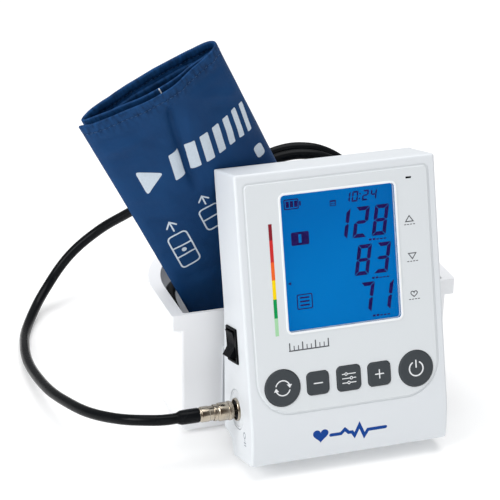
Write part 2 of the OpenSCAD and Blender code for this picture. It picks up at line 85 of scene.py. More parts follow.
# ------------------------------------------------------------------ materials
class Mat:
    """A node material around one Principled shader."""

    def __init__(self, name, color, rough=0.4, metal=0.0, **sockets):
        self.m = bpy.data.materials.new(name)
        self.m.use_nodes = True
        self.t = self.m.node_tree
        self.b = self.t.nodes["Principled BSDF"]
        self.color = (*color, 1)
        self.b.inputs["Base Color"].default_value = self.color
        self.b.inputs["Roughness"].default_value = rough
        self.b.inputs["Metallic"].default_value = metal
        for k, v in sockets.items():
            self.b.inputs[k.replace("_", " ")].default_value = v
        self.rough = rough
        self.coord = self.t.nodes.new("ShaderNodeTexCoord")
        self.height = None

    def node(self, kind, **values):
        n = self.t.nodes.new(kind)
        for k, v in values.items():
            if hasattr(n, k):
                setattr(n, k, v)
            else:
                n.inputs[k.replace("_", " ")].default_value = v
        return n

    def link(self, a, b):
        self.t.links.new(a, b)

    def place(self, scale=(1, 1, 1), rotation=(0, 0, 0), uv=False):
        n = self.node("ShaderNodeMapping")
        n.inputs["Scale"].default_value = scale
        n.inputs["Rotation"].default_value = rotation
        self.link(self.coord.outputs["UV" if uv else "Object"], n.inputs["Vector"])
        return n.outputs["Vector"]

    def noise(self, scale, detail=3.0, where=None, rough=0.5, distortion=0.0):
        n = self.node("ShaderNodeTexNoise", Scale=scale, Detail=detail, Roughness=rough, Distortion=distortion)
        self.link(where or self.place(), n.inputs["Vector"])
        return n.outputs["Fac"]

    def wave(self, scale, direction="X", where=None, distortion=0.0, profile="SIN", detail=0.0):
        n = self.node("ShaderNodeTexWave", wave_type="BANDS", bands_direction=direction, wave_profile=profile,
                      Scale=scale, Distortion=distortion, Detail=detail)
        self.link(where or self.place(), n.inputs["Vector"])
        return n.outputs["Fac"]

    def voronoi(self, scale, where=None, feature="F1", out="Distance"):
        n = self.node("ShaderNodeTexVoronoi", feature=feature, Scale=scale)
        self.link(where or self.place(), n.inputs["Vector"])
        return n.outputs[out]

    def math(self, op, a, b=0.0, clamp=False):
        n = self.node("ShaderNodeMath", operation=op, use_clamp=clamp)
        for i, s in enumerate((a, b)):
            if isinstance(s, (int, float)):
                n.inputs[i].default_value = s
            else:
                self.link(s, n.inputs[i])
        return n.outputs[0]

    def span(self, fac, lo, hi, a=0.0, b=1.0, smooth=False):
        n = self.node("ShaderNodeMapRange", From_Min=lo, From_Max=hi, To_Min=a, To_Max=b)
        if smooth:
            n.interpolation_type = "SMOOTHSTEP"
        self.link(fac, n.inputs["Value"])
        return n.outputs["Result"]

    def mix(self, fac, a, b):
        n = self.node("ShaderNodeMix", data_type="RGBA")
        if isinstance(fac, (int, float)):
            n.inputs["Factor"].default_value = fac
        else:
            self.link(fac, n.inputs["Factor"])
        for s, v in ((n.inputs["A"], a), (n.inputs["B"], b)) if False else ((n.inputs[6], a), (n.inputs[7], b)):
            if isinstance(v, tuple):
                s.default_value = (*v[:3], 1)
            else:
                self.link(v, s)
        return n.outputs[2]

    def ramp(self, fac, *stops):
        n = self.node("ShaderNodeValToRGB")
        e = n.color_ramp.elements
        while len(e) < len(stops):
            e.new(0.5)
        for i, (p, c) in enumerate(stops):
            e[i].position = p
            e[i].color = (*c[:3], 1)
        self.link(fac, n.inputs["Fac"])
        return n.outputs["Color"]

    def base(self, out):
        self.link(out, self.b.inputs["Base Color"])
        return self

    def shade(self, fac, dark, light):
        """Colour that runs between two shares of the base colour with a texture."""
        c = self.color[:3]
        return self.base(self.mix(fac, tuple(x * dark for x in c), tuple(min(1.0, x * light) for x in c)))

    def roughness(self, fac, lo, hi):
        self.link(self.span(fac, 0.3, 0.7, lo, hi), self.b.inputs["Roughness"])
        return self

    def bump(self, height, distance, strength=1.0):
        n = self.node("ShaderNodeBump", Strength=strength, Distance=distance)
        self.link(height, n.inputs["Height"])
        if self.height:
            self.link(self.height, n.inputs["Normal"])
        self.height = n.outputs["Normal"]
        self.link(self.height, self.b.inputs["Normal"])
        return self


def moulded(name, color, rough=0.38, grain=900, depth=0.00003, var=0.03, coat=0.0, spec=0.4, **kw):
    """Injection-moulded plastic: fine spark texture, faint flow shading, handling sheen."""
    m = Mat(name, color, rough, **kw)
    fine = m.noise(grain, 2.0)
    broad = m.noise(9, 3.0)
    m.shade(broad, 1 - var, 1 + var * 0.4)
    m.roughness(m.noise(35, 4.0), rough - 0.06, rough + 0.06)
    m.bump(fine, depth)
    m.b.inputs["Specular IOR Level"].default_value = spec
    if coat:
        m.b.inputs["Coat Weight"].default_value = coat
        m.b.inputs["Coat Roughness"].default_value = 0.12
    return m.m


def metal(name, color, rough=0.25, axis="X", fine=2600, depth=0.00001, painted_reflection=False):
    """Turned or drawn metal: fine rings or lines with a little tarnish; with painted_reflection, a painted reflection
    in the colour, dark along the barrel's middle and light along its edges.
    """
    m = Mat(name, color, rough, 1.0)
    lines = m.wave(fine, axis, distortion=0.6, detail=2.0)
    m.roughness(m.noise(220, 3.0), rough - 0.08, rough + 0.12)
    tone = m.noise(160, 4.0)
    if painted_reflection:
        # painted reflection: the base colour is dark along the barrel's middle and light along its edges, following the
        # Layer Weight facing value, as a turned barrel would mirror a room
        lw = m.node("ShaderNodeLayerWeight")
        lw.inputs["Blend"].default_value = 0.5
        wobble = m.math("MULTIPLY", m.math("SUBTRACT", tone, 0.5), 0.05)
        m.base(m.ramp(m.math("ADD", lw.outputs["Facing"], wobble), (0.0, (0.060, 0.040, 0.026)), (0.030, (0.075, 0.052, 0.034)),
                      (0.10, (0.42, 0.365, 0.29)), (0.45, (0.52, 0.465, 0.385)), (1.0, (0.20, 0.172, 0.14))))
    else:
        m.shade(tone, 0.82, 1.08)
    m.bump(lines, depth)
    return m.m


def rubber(name, color, rough=0.5, grain=1500, depth=0.00002, sheen=0.05, spec=0.25):
    m = Mat(name, color, rough)
    m.b.inputs["Sheen Weight"].default_value = sheen
    m.b.inputs["Sheen Roughness"].default_value = 0.4
    m.b.inputs["Specular IOR Level"].default_value = spec
    m.shade(m.noise(60, 4.0), 0.75, 1.25)
    m.roughness(m.noise(90, 3.0), rough - 0.08, rough + 0.1)
    m.bump(m.noise(grain, 2.0), depth)
    return m.m


WHITE = moulded("housing_white", (0.715, 0.745, 0.775), 0.44, 1600, 0.000004, 0.008, spec=0.3)
WHITE_REAR = moulded("housing_rear_white", (0.715, 0.745, 0.775), 0.46, 1200, 0.000006, 0.010, spec=0.3)
PLATE = moulded("plate_grey", (0.700, 0.732, 0.755), 0.36, 1900, 0.000002, 0.006, spec=0.3)
# paler than the plate: painted highlight for the lip round the display window
RIM_PAINTED_HIGHLIGHT = moulded("window_rim_painted_highlight", (0.87, 0.885, 0.90), 0.34, 1900, 0.000002, 0.006, spec=0.3)
BASKET = moulded("basket_white", (0.87, 0.88, 0.90), 0.40, 900, 0.000006, 0.008, spec=0.3)
GREY = moulded("light_grey_plastic", (0.56, 0.59, 0.62), 0.42, 1200, 0.00001, 0.03)
KEY = moulded("button_dark_grey", (0.048, 0.056, 0.063), 0.45, 1900, 0.000008, 0.06, spec=0.2)
BLACK = moulded("black_plastic", (0.0045, 0.005, 0.006), 0.30, 900, 0.00001, 0.2, spec=0.02)
BLACK_MATT = moulded("black_matt_plastic", (0.008, 0.0085, 0.0095), 0.50, 700, 0.00003, 0.2, spec=0.10)
NICKEL = metal("turned_nickel", (0.57, 0.52, 0.43), 0.19, "X", 1500, 0.000002, painted_reflection=True)
STEEL = metal("plain_steel", (0.45, 0.45, 0.46), 0.32, "Z", 1200, 0.00001)
CAN = metal("drawn_can", (0.52, 0.52, 0.53), 0.34, "X", 900, 0.00001)
HOSE = rubber("hose_rubber", (0.0030, 0.0038, 0.0050), 0.24, 1100, 0.000008, 0.0, 0.10)
FOOT = rubber("foot_rubber", (0.03, 0.03, 0.032), 0.62, 900, 0.00005)
MAT_GREY = rubber("silicone_grey", (0.50, 0.52, 0.54), 0.55, 1300, 0.00002)
TUBE = rubber("silicone_tube", (0.66, 0.70, 0.72), 0.35, 700, 0.00002)


def board_material():
    m = Mat("circuit_board", (0.01, 0.10, 0.045), 0.35)
    w = m.place((1, 1, 1), (TILT, 0, 0))
    lines = m.span(m.wave(260, "X", w, 2.5, detail=1.0), 0.62, 0.7)
    pads = m.span(m.voronoi(420, w), 0.10, 0.14, 1.0, 0.0)
    c = m.mix(lines, (0.008, 0.085, 0.04), (0.02, 0.17, 0.07))
    m.base(m.mix(pads, c, (0.55, 0.42, 0.16)))
    m.bump(lines, 0.00003)
    m.b.inputs["Coat Weight"].default_value = 0.4
    return m.m


def cell_material():
    """Plain jacket of a battery: a pale body with uneven tone."""
    m = Mat("cell_jacket", (0.30, 0.32, 0.35), 0.30, 0.5)
    m.shade(m.noise(120, 3.0), 0.85, 1.15)
    m.bump(m.noise(900, 2.0), 0.00001)
    m.b.inputs["Coat Weight"].default_value = 0.5
    return m.m


BOARD = board_material()
CELL = cell_material()


def lcd_material():
    """Lit blue display: brighter toward the lower middle, with a faint cell mottle."""
    m = Mat("lcd_blue", (0.0, 0.05, 0.16), 0.4)
    m.b.inputs["Specular IOR Level"].default_value = 0.02
    w = m.node("ShaderNodeSeparateXYZ")
    m.link(m.place(), w.inputs[0])
    up = m.span(w.outputs["Z"], 0.083, 0.172)
    across = m.span(w.outputs["X"], -0.04, 0.04)
    side = m.math("MULTIPLY", m.math("SUBTRACT", across, 0.45), m.math("SUBTRACT", across, 0.45))
    low = m.math("MULTIPLY", m.math("SUBTRACT", up, 0.42), m.math("SUBTRACT", up, 0.42))
    fall = m.math("ADD", m.math("MULTIPLY", side, 1.1), m.math("MULTIPLY", low, 1.3))
    cloud = m.math("MULTIPLY", m.math("SUBTRACT", m.noise(26, 2.0), 0.5), 0.25)
    fac = m.math("ADD", fall, cloud, True)
    col = m.ramp(fac, (0.0, (0.0, 0.150, 0.425)), (0.4, (0.0, 0.124, 0.375)), (1.0, (0.001, 0.096, 0.320)))
    m.link(col, m.b.inputs["Emission Color"])
    m.b.inputs["Emission Strength"].default_value = 1.0
    m.base(m.mix(fac, (0.0, 0.03, 0.12), (0.0, 0.02, 0.08)))
    return m.m


def segment_material():
    m = Mat("lcd_segment", (0.008, 0.004, 0.03), 0.5)
    m.b.inputs["Specular IOR Level"].default_value = 0.02
    cloud = m.noise(300, 2.0)
    col = m.mix(m.span(cloud, 0.35, 0.65), (0.010, 0.004, 0.060), (0.020, 0.008, 0.090))
    m.link(col, m.b.inputs["Emission Color"])
    m.b.inputs["Emission Strength"].default_value = 0.8
    return m.m


def window_material():
    m = Mat("window_clear", (0.94, 0.97, 1.0), 0.02)
    m.b.inputs["Transmission Weight"].default_value = 1.0
    m.b.inputs["IOR"].default_value = 1.09
    m.bump(m.noise(30, 2.0), 0.00001, 0.2)
    return m.m


LCD = lcd_material()
SEGMENT = segment_material()
WINDOW = window_material()
GUIDE = moulded("light_guide", (0.75, 0.80, 0.86), 0.2, 500, 0.00001, 0.02)


def ink(name, color, rough=0.5, speck=0.12):
    """Screen-printed ink: slightly uneven cover, dry surface."""
    m = Mat(name, color, rough)
    m.shade(m.noise(1500, 3.0), 1 - speck, 1 + speck * 0.4)
    m.bump(m.noise(2500, 2.0), 0.00001)
    m.b.inputs["Specular IOR Level"].default_value = 0.15
    return m.m


INK_WHITE = ink("ink_white", (0.80, 0.82, 0.84))
INK_GREY = ink("ink_grey", (0.085, 0.09, 0.10))
INK_CLOTH = ink("ink_on_cloth", (0.62, 0.70, 0.78), 0.7, 0.25)
BARS = [ink("bar_deep_red", (0.24, 0.010, 0.022)), ink("bar_red", (0.60, 0.024, 0.024)),
        ink("bar_orange", (0.86, 0.13, 0.02)), ink("bar_yellow", (0.93, 0.66, 0.0)),
        ink("bar_green", (0.0, 0.30, 0.075)), ink("bar_pale_green", (0.38, 0.68, 0.40))]


def cloth_material(name, dark, light, uv=True):
    """Tight plain-weave nylon: crossed threads at about half a millimetre, soft sheen, uneven dye and wear, and painted
    shade and highlight on the hem puckers.
    """
    m = Mat(name, light, 0.55)
    w = m.place((1, 1, 1), uv=uv)
    warp = m.wave(2100, "X", w, 0.5)
    weft = m.wave(2100, "Y", w, 0.5)
    weave = m.math("MULTIPLY", warp, weft)
    slub = m.noise(1, 3.0, m.place((900, 60, 1), uv=uv))
    broad = m.noise(14, 4.0)
    worn = m.noise(55, 5.0)
    tone = m.math("ADD", m.math("MULTIPLY", broad, 0.55), m.math("MULTIPLY", worn, 0.45))
    c = m.mix(m.span(tone, 0.34, 0.68), dark, light)
    c = m.mix(m.span(m.math("ADD", weave, m.math("MULTIPLY", slub, 0.6)), 0.2, 1.3, 0.0, 0.22), c,
              tuple(min(1, x * 1.7) for x in light))
    # painted shade in the hollows and painted highlight on the tops of the puckers along the sewn hems
    sep = m.node("ShaderNodeSeparateXYZ")
    m.link(w, sep.inputs[0])
    up = sep.outputs["Y"]
    rim = m.math("ADD", m.span(up, 0.176, 0.184), m.math("SUBTRACT", 1.0, m.span(up, 0.004, 0.012)), True)
    pucker_shade_highlight = m.noise(1, 3.0, m.place((420, 150, 1), uv=uv))
    # painted shade in the pucker hollows
    c = m.mix(m.math("MULTIPLY", rim, m.span(pucker_shade_highlight, 0.52, 0.34, 0.0, 0.62)), c, tuple(0.5 * x for x in dark))
    # painted highlight on the pucker tops
    c = m.mix(m.math("MULTIPLY", rim, m.span(pucker_shade_highlight, 0.58, 0.78, 0.0, 0.55)), c, tuple(min(1, x * 1.9) for x in light))
    for at in (0.1838, 0.0062):
        off = m.math("ABSOLUTE", m.math("SUBTRACT", up, at))
        c = m.mix(m.span(off, 0.0007, 0.0003, 0.0, 0.45), c, tuple(0.35 * x for x in dark))
    m.base(c)
    m.roughness(worn, 0.44, 0.58)
    m.b.inputs["Sheen Weight"].default_value = 0.0
    m.b.inputs["Sheen Roughness"].default_value = 0.35
    m.b.inputs["Sheen Tint"].default_value = (0.2, 0.5, 0.9, 1)
    m.b.inputs["Specular IOR Level"].default_value = 0.10
    m.bump(weave, 0.00005, 0.5)
    m.bump(m.noise(1, 4.0, m.place((46, 26, 1), uv=uv)), 0.0022, 0.55)
    m.bump(worn, 0.0006, 0.5)
    return m.m


CLOTH = cloth_material("cuff_nylon", (0.0045, 0.0325, 0.107), (0.0075, 0.048, 0.147))
# darker copy of the nylon: the cuff's inner side, darkened further as painted shade for the inside of the mouth
CLOTH_INNER_AND_SHADE = cloth_material("cuff_nylon_inner_and_painted_shade", (0.0016, 0.0034, 0.0110), (0.0052, 0.0098, 0.0280))


THREAD = rubber("stitch_thread", (0.018, 0.075, 0.20), 0.6, 3000, 0.00002, 0.3)
THREAD_PALE = rubber("index_thread", (0.75, 0.78, 0.80), 0.6, 3000, 0.00002, 0.3)


def paint(o, *materials):
    o.data.materials.clear()
    for m in materials:
        o.data.materials.append(m)
    return o


# ------------------------------------------------------------------ mesh helpers
def make(name, verts, faces, mat=None, frame_matrix=None, smooth=True, angle=32):
    """Mesh object from millimetre points in the given frame."""
    me = bpy.data.meshes.new(name)
    me.from_pydata([Vector(v) * MM for v in verts], [], faces)
    o = bpy.data.objects.new(name, me)
    scene.collection.objects.link(o)
    settle(o, frame_matrix, smooth, angle)
    if mat:
        paint(o, mat)
    return o


def settle(o, frame_matrix=None, smooth=True, angle=32):
    me = o.data
    if frame_matrix:
        me.transform(frame_matrix)
    me.validate()
    me.update()
    if smooth:
        me.polygons.foreach_set("use_smooth", [True] * len(me.polygons))
        me.set_sharp_from_angle(angle=math.radians(angle))


def from_bm(name, bm, mat=None, frame_matrix=None, smooth=True, angle=32, scale=MM):
    me = bpy.data.meshes.new(name)
    if scale != 1:
        bmesh.ops.scale(bm, vec=(scale,) * 3, verts=bm.verts)
    bmesh.ops.recalc_face_normals(bm, faces=bm.faces)
    bm.to_mesh(me)
    bm.free()
    o = bpy.data.objects.new(name, me)
    scene.collection.objects.link(o)
    settle(o, frame_matrix, smooth, angle)
    if mat:
        paint(o, mat)
    return o


def prism(bm, outline, axis, a, b):
    """Closed prism in bm: 2D outline carried from a to b along axis. Axis X reads (d, v), D reads (x, v), V reads (x, d)."""
    put = {"X": lambda p, t: (t, p[0], p[1]), "D": lambda p, t: (p[0], t, p[1]), "V": lambda p, t: (p[0], p[1], t)}[axis]
    lo = [bm.verts.new(put(p, a)) for p in outline]
    hi = [bm.verts.new(put(p, b)) for p in outline]
    n = len(outline)
    bm.faces.new(lo[::-1])
    bm.faces.new(hi)
    for i in range(n):
        bm.faces.new((lo[i], lo[(i + 1) % n], hi[(i + 1) % n], hi[i]))
    return lo, hi


def rrect(x0, y0, x1, y1, r, n=8, r2=None):
    """Rounded rectangle outline; r below, r2 above."""
    r2 = r if r2 is None else r2
    out = []
    for cx, cy, rr, a0 in ((x1 - r, y0 + r, r, -90), (x1 - r2, y1 - r2, r2, 0), (x0 + r2, y1 - r2, r2, 90),
                           (x0 + r, y0 + r, r, 180)):
        for k in range(n + 1):
            a = math.radians(a0 + 90 * k / n)
            out.append((cx + rr * math.cos(a), cy + rr * math.sin(a)))
    return out


def disc(cx, cy, r, n=64):
    return [(cx + r * math.cos(2 * math.pi * k / n), cy + r * math.sin(2 * math.pi * k / n)) for k in range(n)]


def solid(name, outline, axis, a, b, bevel=0.0, segments=3, pick=None, mat=None, smooth=True, fm=SLAB):
    """Prism with chosen edges rounded. pick(p, q) says which edges, from their end points."""
    bm = bmesh.new()
    prism(bm, outline, axis, a, b)
    bmesh.ops.recalc_face_normals(bm, faces=bm.faces)
    if bevel:
        k = {"X": 0, "D": 1, "V": 2}[axis]
        pick = pick or (lambda p, q: abs(p[k] - q[k]) < 1e-6)
        edges = [e for e in bm.edges if pick(e.verts[0].co, e.verts[1].co)]
        bmesh.ops.bevel(bm, geom=edges, offset=bevel, offset_type="OFFSET", segments=segments, profile=0.5,
                        affect="EDGES", clamp_overlap=True)
    return from_bm(name, bm, mat, fm, smooth)


def baked(o):
    """Replaces o's mesh by what its modifiers make of it."""
    bpy.context.view_layer.update()
    e = o.evaluated_get(bpy.context.evaluated_depsgraph_get())
    me = bpy.data.meshes.new_from_object(e)
    old = o.data
    o.modifiers.clear()
    o.data = me
    bpy.data.meshes.remove(old)
    return o


def combine(o, tools, operation="DIFFERENCE"):
    for t in tools:
        m = o.modifiers.new("b", "BOOLEAN")
        m.operation, m.object, m.solver = operation, t, "EXACT"
        baked(o)
        bpy.data.objects.remove(t)
    return o


def soften(o, width, segments=2, angle=35, smooth_angle=32):
    """Small rounding on every sharp edge, applied."""
    m = o.modifiers.new("e", "BEVEL")
    m.width, m.segments, m.limit_method, m.angle_limit = width * MM, segments, "ANGLE", math.radians(angle)
    m.use_clamp_overlap, m.miter_outer = True, "MITER_ARC"
    baked(o)
    settle(o, None, True, smooth_angle)
    m = o.modifiers.new("even", "WEIGHTED_NORMAL")
    m.keep_sharp = True
    return o


def lathe(name, profile, centre, axis="X", n=64, mat=None, fm=SLAB, shape=None, angle=32, cap=True):
    """Turned piece: profile of (along, radius) about an axis through centre. shape(angle, along, r) may change the radius."""
    verts, faces = [], []
    for a, r in profile:
        for k in range(n):
            t = 2 * math.pi * k / n
            rr = shape(t, a, r) if shape else r
            u, w = rr * math.cos(t), rr * math.sin(t)
            verts.append({"X": (centre[0] + a, centre[1] + u, centre[2] + w),
                          "D": (centre[0] + u, centre[1] + a, centre[2] + w),
                          "V": (centre[0] + u, centre[1] + w, centre[2] + a)}[axis])
    for i in range(len(profile) - 1):
        for k in range(n):
            j = (k + 1) % n
            faces.append((i * n + k, i * n + j, (i + 1) * n + j, (i + 1) * n + k))
    if cap:
        faces.append(tuple(range(n))[::-1])
        faces.append(tuple((len(profile) - 1) * n + k for k in range(n)))
    me = bpy.data.meshes.new(name)
    me.from_pydata([Vector(v) * MM for v in verts], [], faces)
    bm = bmesh.new()
    bm.from_mesh(me)
    bpy.data.meshes.remove(me)
    return from_bm(name, bm, mat, fm, True, angle, scale=1)


def turned(*corners, r=0.4, n=3):
    """Profile through corners with each inner one rounded by about r."""
    out = [corners[0]]
    for i in range(1, len(corners) - 1):
        p, q, s = Vector(corners[i - 1]), Vector(corners[i]), Vector(corners[i + 1])
        a, b = (p - q), (s - q)
        k = min(r, a.length * 0.45, b.length * 0.45)
        if k < 1e-4:
            out.append(tuple(q))
            continue
        a, b = q + a.normalized() * k, q + b.normalized() * k
        for j in range(n + 1):
            t = j / n
            out.append(tuple(a * (1 - t) ** 2 + q * 2 * t * (1 - t) + b * t * t))
    out.append(corners[-1])
    return out


def joined(name, objects, mat=None):
    """One object from several, keeping each one's material."""
    bm = bmesh.new()
    mats = []
    for o in objects:
        slots = []
        for s in o.data.materials:
            if s not in mats:
                mats.append(s)
            slots.append(mats.index(s))
        start = len(bm.faces)
        o.data.transform(o.matrix_world)
        bm.from_mesh(o.data)
        bm.faces.ensure_lookup_table()
        for f in bm.faces[start:]:
            f.material_index = slots[min(f.material_index, len(slots) - 1)] if slots else 0
        me = o.data
        bpy.data.objects.remove(o)
        bpy.data.meshes.remove(me)
    me = bpy.data.meshes.new(name)
    bm.to_mesh(me)
    bm.free()
    o = bpy.data.objects.new(name, me)
    scene.collection.objects.link(o)
    for m in ([mat] if mat else mats):
        me.materials.append(m)
    return o


def flat_shapes(name, outlines, mat, place, thick=0.06, step=0.0):
    """Thin printed shapes: each outline of (a, b), filled, given a thickness and carried by place(a, b, height)."""
    verts, faces = [], []
    for poly in outlines:
        loops = poly if isinstance(poly[0], list) else [poly]
        base = len(verts)
        pts = [p for loop in loops for p in loop]
        tris = tessellate_polygon([[Vector((*p, 0)) for p in loop] for loop in loops])
        n = len(pts)
        verts += [place(p[0], p[1], thick) for p in pts] + [place(p[0], p[1], -0.01) for p in pts]
        for t in tris:
            a, b, c = (pts[i] for i in t)
            turn = (b[0] - a[0]) * (c[1] - a[1]) - (b[1] - a[1]) * (c[0] - a[0])
            t = tuple(t) if turn > 0 else tuple(t)[::-1]
            faces.append(tuple(base + i for i in t))
            faces.append(tuple(base + n + i for i in t[::-1]))
        k = 0
        for loop in loops:
            m = len(loop)
            for i in range(m):
                p, q = base + k + i, base + k + (i + 1) % m
                faces.append((p, q, q + n, p + n))
            k += m
    return make(name, verts, faces, mat, None, smooth=False)


def cell_print(name, outlines, mat, place, thick=0.05, cell=2.0, under=0.05):
    """Thin shapes from outlines (a, b), cut into cells so that they follow a curved surface."""
    bm = bmesh.new()
    for poly in outlines:
        loops = poly if isinstance(poly[0], list) else [poly]
        vs = [bm.verts.new((p[0], p[1], 0)) for loop in loops for p in loop]
        for t in tessellate_polygon([[Vector((*p, 0)) for p in loop] for loop in loops]):
            a, b, c = (vs[i] for i in t)
            turn = (b.co - a.co).cross(c.co - a.co).z
            if abs(turn) < 1e-9:
                continue
            bm.faces.new((a, b, c) if turn > 0 else (a, c, b))
    for axis in (0, 1):
        lo = min(v.co[axis] for v in bm.verts)
        hi = max(v.co[axis] for v in bm.verts)
        q = math.ceil(lo / cell) * cell
        while q < hi:
            co, no = [0.0, 0.0, 0.0], [0.0, 0.0, 0.0]
            co[axis], no[axis] = q, 1.0
            bmesh.ops.bisect_plane(bm, geom=bm.verts[:] + bm.edges[:] + bm.faces[:], plane_co=co, plane_no=no)
            q += cell
    made = bmesh.ops.extrude_face_region(bm, geom=bm.faces[:])
    top = {v for v in made["geom"] if isinstance(v, bmesh.types.BMVert)}
    for v in bm.verts:
        v.co = Vector(place(v.co.x, v.co.y, thick if v in top else -under))
    return from_bm(name, bm, mat, None, True, 50)


def on_face(x, v, h):
    """Point h above the plate's surface, in the slab frame, turned into the row frame (mm)."""
    p = SLAB @ (Vector((x, -h, v)) * MM)
    return p / MM


def stroke(points, width, closed=False, n=4):
    """Outline of a line of even width with round ends, or a ring of two outlines if closed."""
    P = [Vector(p) for p in points]
    w = width / 2

    def side(sign):
        out = []
        for i, p in enumerate(P):
            a = (p - P[i - 1]) if (i or closed) else (P[1] - p)
            b = (P[(i + 1) % len(P)] - p) if (i < len(P) - 1 or closed) else a
            a, b = a.normalized(), b.normalized()
            m = Vector((-(a.y + b.y), a.x + b.x))
            m = m.normalized() if m.length > 1e-6 else Vector((-a.y, a.x))
            k = max(0.4, m.dot(Vector((-a.y, a.x))))
            out.append(tuple(p + m * (sign * w / k)))
        return out

    if closed:
        return [side(1), side(-1)[::-1]]
    ends = []
    for p, q, s in ((P[-1], P[-2], 1), (P[0], P[1], -1)):
        d = (p - q).normalized()
        nrm = Vector((-d.y, d.x))
        ends.append([tuple(p + (nrm * math.cos(t) + d * math.sin(t)) * w)
                     for t in (math.pi * k / n for k in range(1, n))])
    return side(1) + ends[0] + side(-1)[::-1] + ends[1]


def carry(o, body, slot=None, *nodes):
    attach(o, body)
    if nodes:
        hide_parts(*nodes)
    return o


# ------------------------------------------------------------------ hose
def coil(x, y, z):
    p = COIL @ (Vector((x, y, z)) * MM)
    return (p.x / MM, p.y / MM, p.z / MM)


AIR_D, AIR_V, HOSE_R = 28.2, 14.7, 3.7
AIR_Y = AIR_D * CT + AIR_V * ST - 128.5
AIR_Z = AIR_V * CT - AIR_D * ST + 31.91
port = CUFF @ (Vector((0, -9.5, -14)) * MM) / MM
lead = [(-112, AIR_Y, AIR_Z), (-118, AIR_Y, AIR_Z), (-134, -91, 37), (-154, -66, 30), (-169, -22, 21), (-174.4, 26, 13),
        (-171, 84, 7.2), (-153, 138.5, 5.5), (-136, 162, 15), (-114, 170, 38), (-93, 166, 57), (-75, 151, 75), (-58, 129, 95),
        (-46, 105, 112), (-38.5, 84, 118), (-33.5, 64, 112), (-31.2, 51.5, 98)]
tail = [(-35.6, 31.4, 100.6), (-40.4, 29.6, 92), (-48, 27.6, 85.8), (-57, 25, 82.2), (-66, 21.2, 81), (-75, 15.6, 81),
        (-82.4, 8, 81.6), (-87, -1, 82), (-89.6, -12, 81), (-89.6, -24, 77.6), (-87.6, -34.5, 69.8), (-83.2, -42.6, 58.8),
        (-76, -47.4, 46.8), (-66.5, -49, 35.2), (-55, -48.4, 25.4), (-42, -45.2, 18.2), (-28.5, -40, 17.2),
        (-17, -32.5, 26.6), (-11.5, -25.5, 42), (-14, -21.6, 57.5), tuple(port)]


def coil_turns(turns=1.93, count=46, r=50.0, z0=57.0, z1=114.6, start=82.0, y0=7.8, pitch=7.8):
    """Two standing turns, a hose's width apart, entered on the left going down."""
    per = 2 * (z1 - z0) + 2 * math.pi * r
    out = []
    for i in range(count):
        s = turns * per * i / (count - 1)
        y, q = y0 - pitch * s / per, s % per
        marks = (start - z0, math.pi * r, z1 - z0, math.pi * r)
        if q < marks[0]:
            x, z = -r, start - q
        elif q < sum(marks[:2]):
            a = (q - marks[0]) / r
            x, z = -r * math.cos(a), z0 - r * math.sin(a)
        elif q < sum(marks[:3]):
            x, z = r, z0 + q - sum(marks[:2])
        elif q < sum(marks):
            a = (q - sum(marks[:3])) / r
            x, z = r * math.cos(a), z1 + r * math.sin(a)
        else:
            x, z = -r, z1 - (q - sum(marks))
        # the second turn's top sags a little below the first
        low = 2.0 * ease(s / per, 0.85, 1.2) * ease(z, z1 - 30, z1 + r)
        out.append(coil(x, y, z - low))
    return out


hose_points = [Vector(p) * MM for p in lead + coil_turns() + tail]
curve = bpy.data.curves.new("air_hose", "CURVE")
curve.dimensions = "3D"
curve.bevel_depth = HOSE_R * MM
curve.bevel_resolution = 6
curve.resolution_u = 8
curve.use_fill_caps = True
spline = curve.splines.new("BEZIER")
spline.bezier_points.add(len(hose_points) - 1)
for i, p in enumerate(hose_points):
    bp = spline.bezier_points[i]
    a = hose_points[i - 1] if i else p - Vector((-1, 0, 0)) * 0.006
    b = hose_points[i + 1] if i < len(hose_points) - 1 else p + (CUFF.to_3x3() @ Vector((0, 0, 1))) * 0.01
    la, lb = (p - a).length, (b - p).length
    t = (((p - a) / la) * lb + ((b - p) / lb) * la).normalized()
    bp.handle_left_type = bp.handle_right_type = "FREE"
    bp.co, bp.handle_left, bp.handle_right = p, p - t * la * 0.36, p + t * lb * 0.36
hose = bpy.data.objects.new("air_hose", curve)


def hose_length():
    """Length of the hose's smooth line, in metres."""
    total, n = 0.0, 16
    bps = spline.bezier_points
    for p, q in zip(bps, bps[1:]):
        last = p.co.copy()
        for k in range(1, n + 1):
            t = k / n
            c = (p.co * (1 - t) ** 3 + p.handle_right * 3 * t * (1 - t) ** 2 + q.handle_left * 3 * t * t * (1 - t) +
                 q.co * t ** 3)
            total += (c - last).length
            last = c
    return total


scene.collection.objects.link(hose)
curve.materials.append(HOSE)
carry(hose, "unit", "rubber_black", "hose_lead", "hose_loops", "hose_tail")

# ------------------------------------------------------------------ unit: front housing
BOT, TOP, SEAM, BACK, UX = -20.5, 174.5, 38.5, 41.5, 70.0
WIN = (-39.6, 67.8, 39.6, 158.1)
KEYS = {"button_mode": (-46.85, 31.8), "button_minus": (-22.1, 31.8), "button_set": (-0.3, 32.1),
        "button_plus": (21.4, 31.9), "button_start": (47.85, 31.8)}
HALF = {"button_minus": 7.7, "button_set": 8.4, "button_plus": 8.0}


def key_outline(name, grow=0.0, n=8):
    x, v = KEYS[name]
    if name in HALF:
        h = HALF[name] + grow
        return rrect(x - h, v - h, x + h, v + h, 3.2 + grow, n)
    return disc(x, v, 12.3 + grow, 96)


def front_outline(o):
    """(d, v) outline of the front housing, inset by o."""
    r = 90.0
    low = BOT + o
    a1 = math.asin((12 - low) / (r - o))
    arc = [(r - (r - o) * math.cos(a1 * (1 - k / 18)), 12 - (r - o) * math.sin(a1 * (1 - k / 18))) for k in range(19)]
    return [(SEAM + (1 if o else 0), low)] + arc + [(o, TOP - o), (SEAM + (1 if o else 0), TOP - o)]


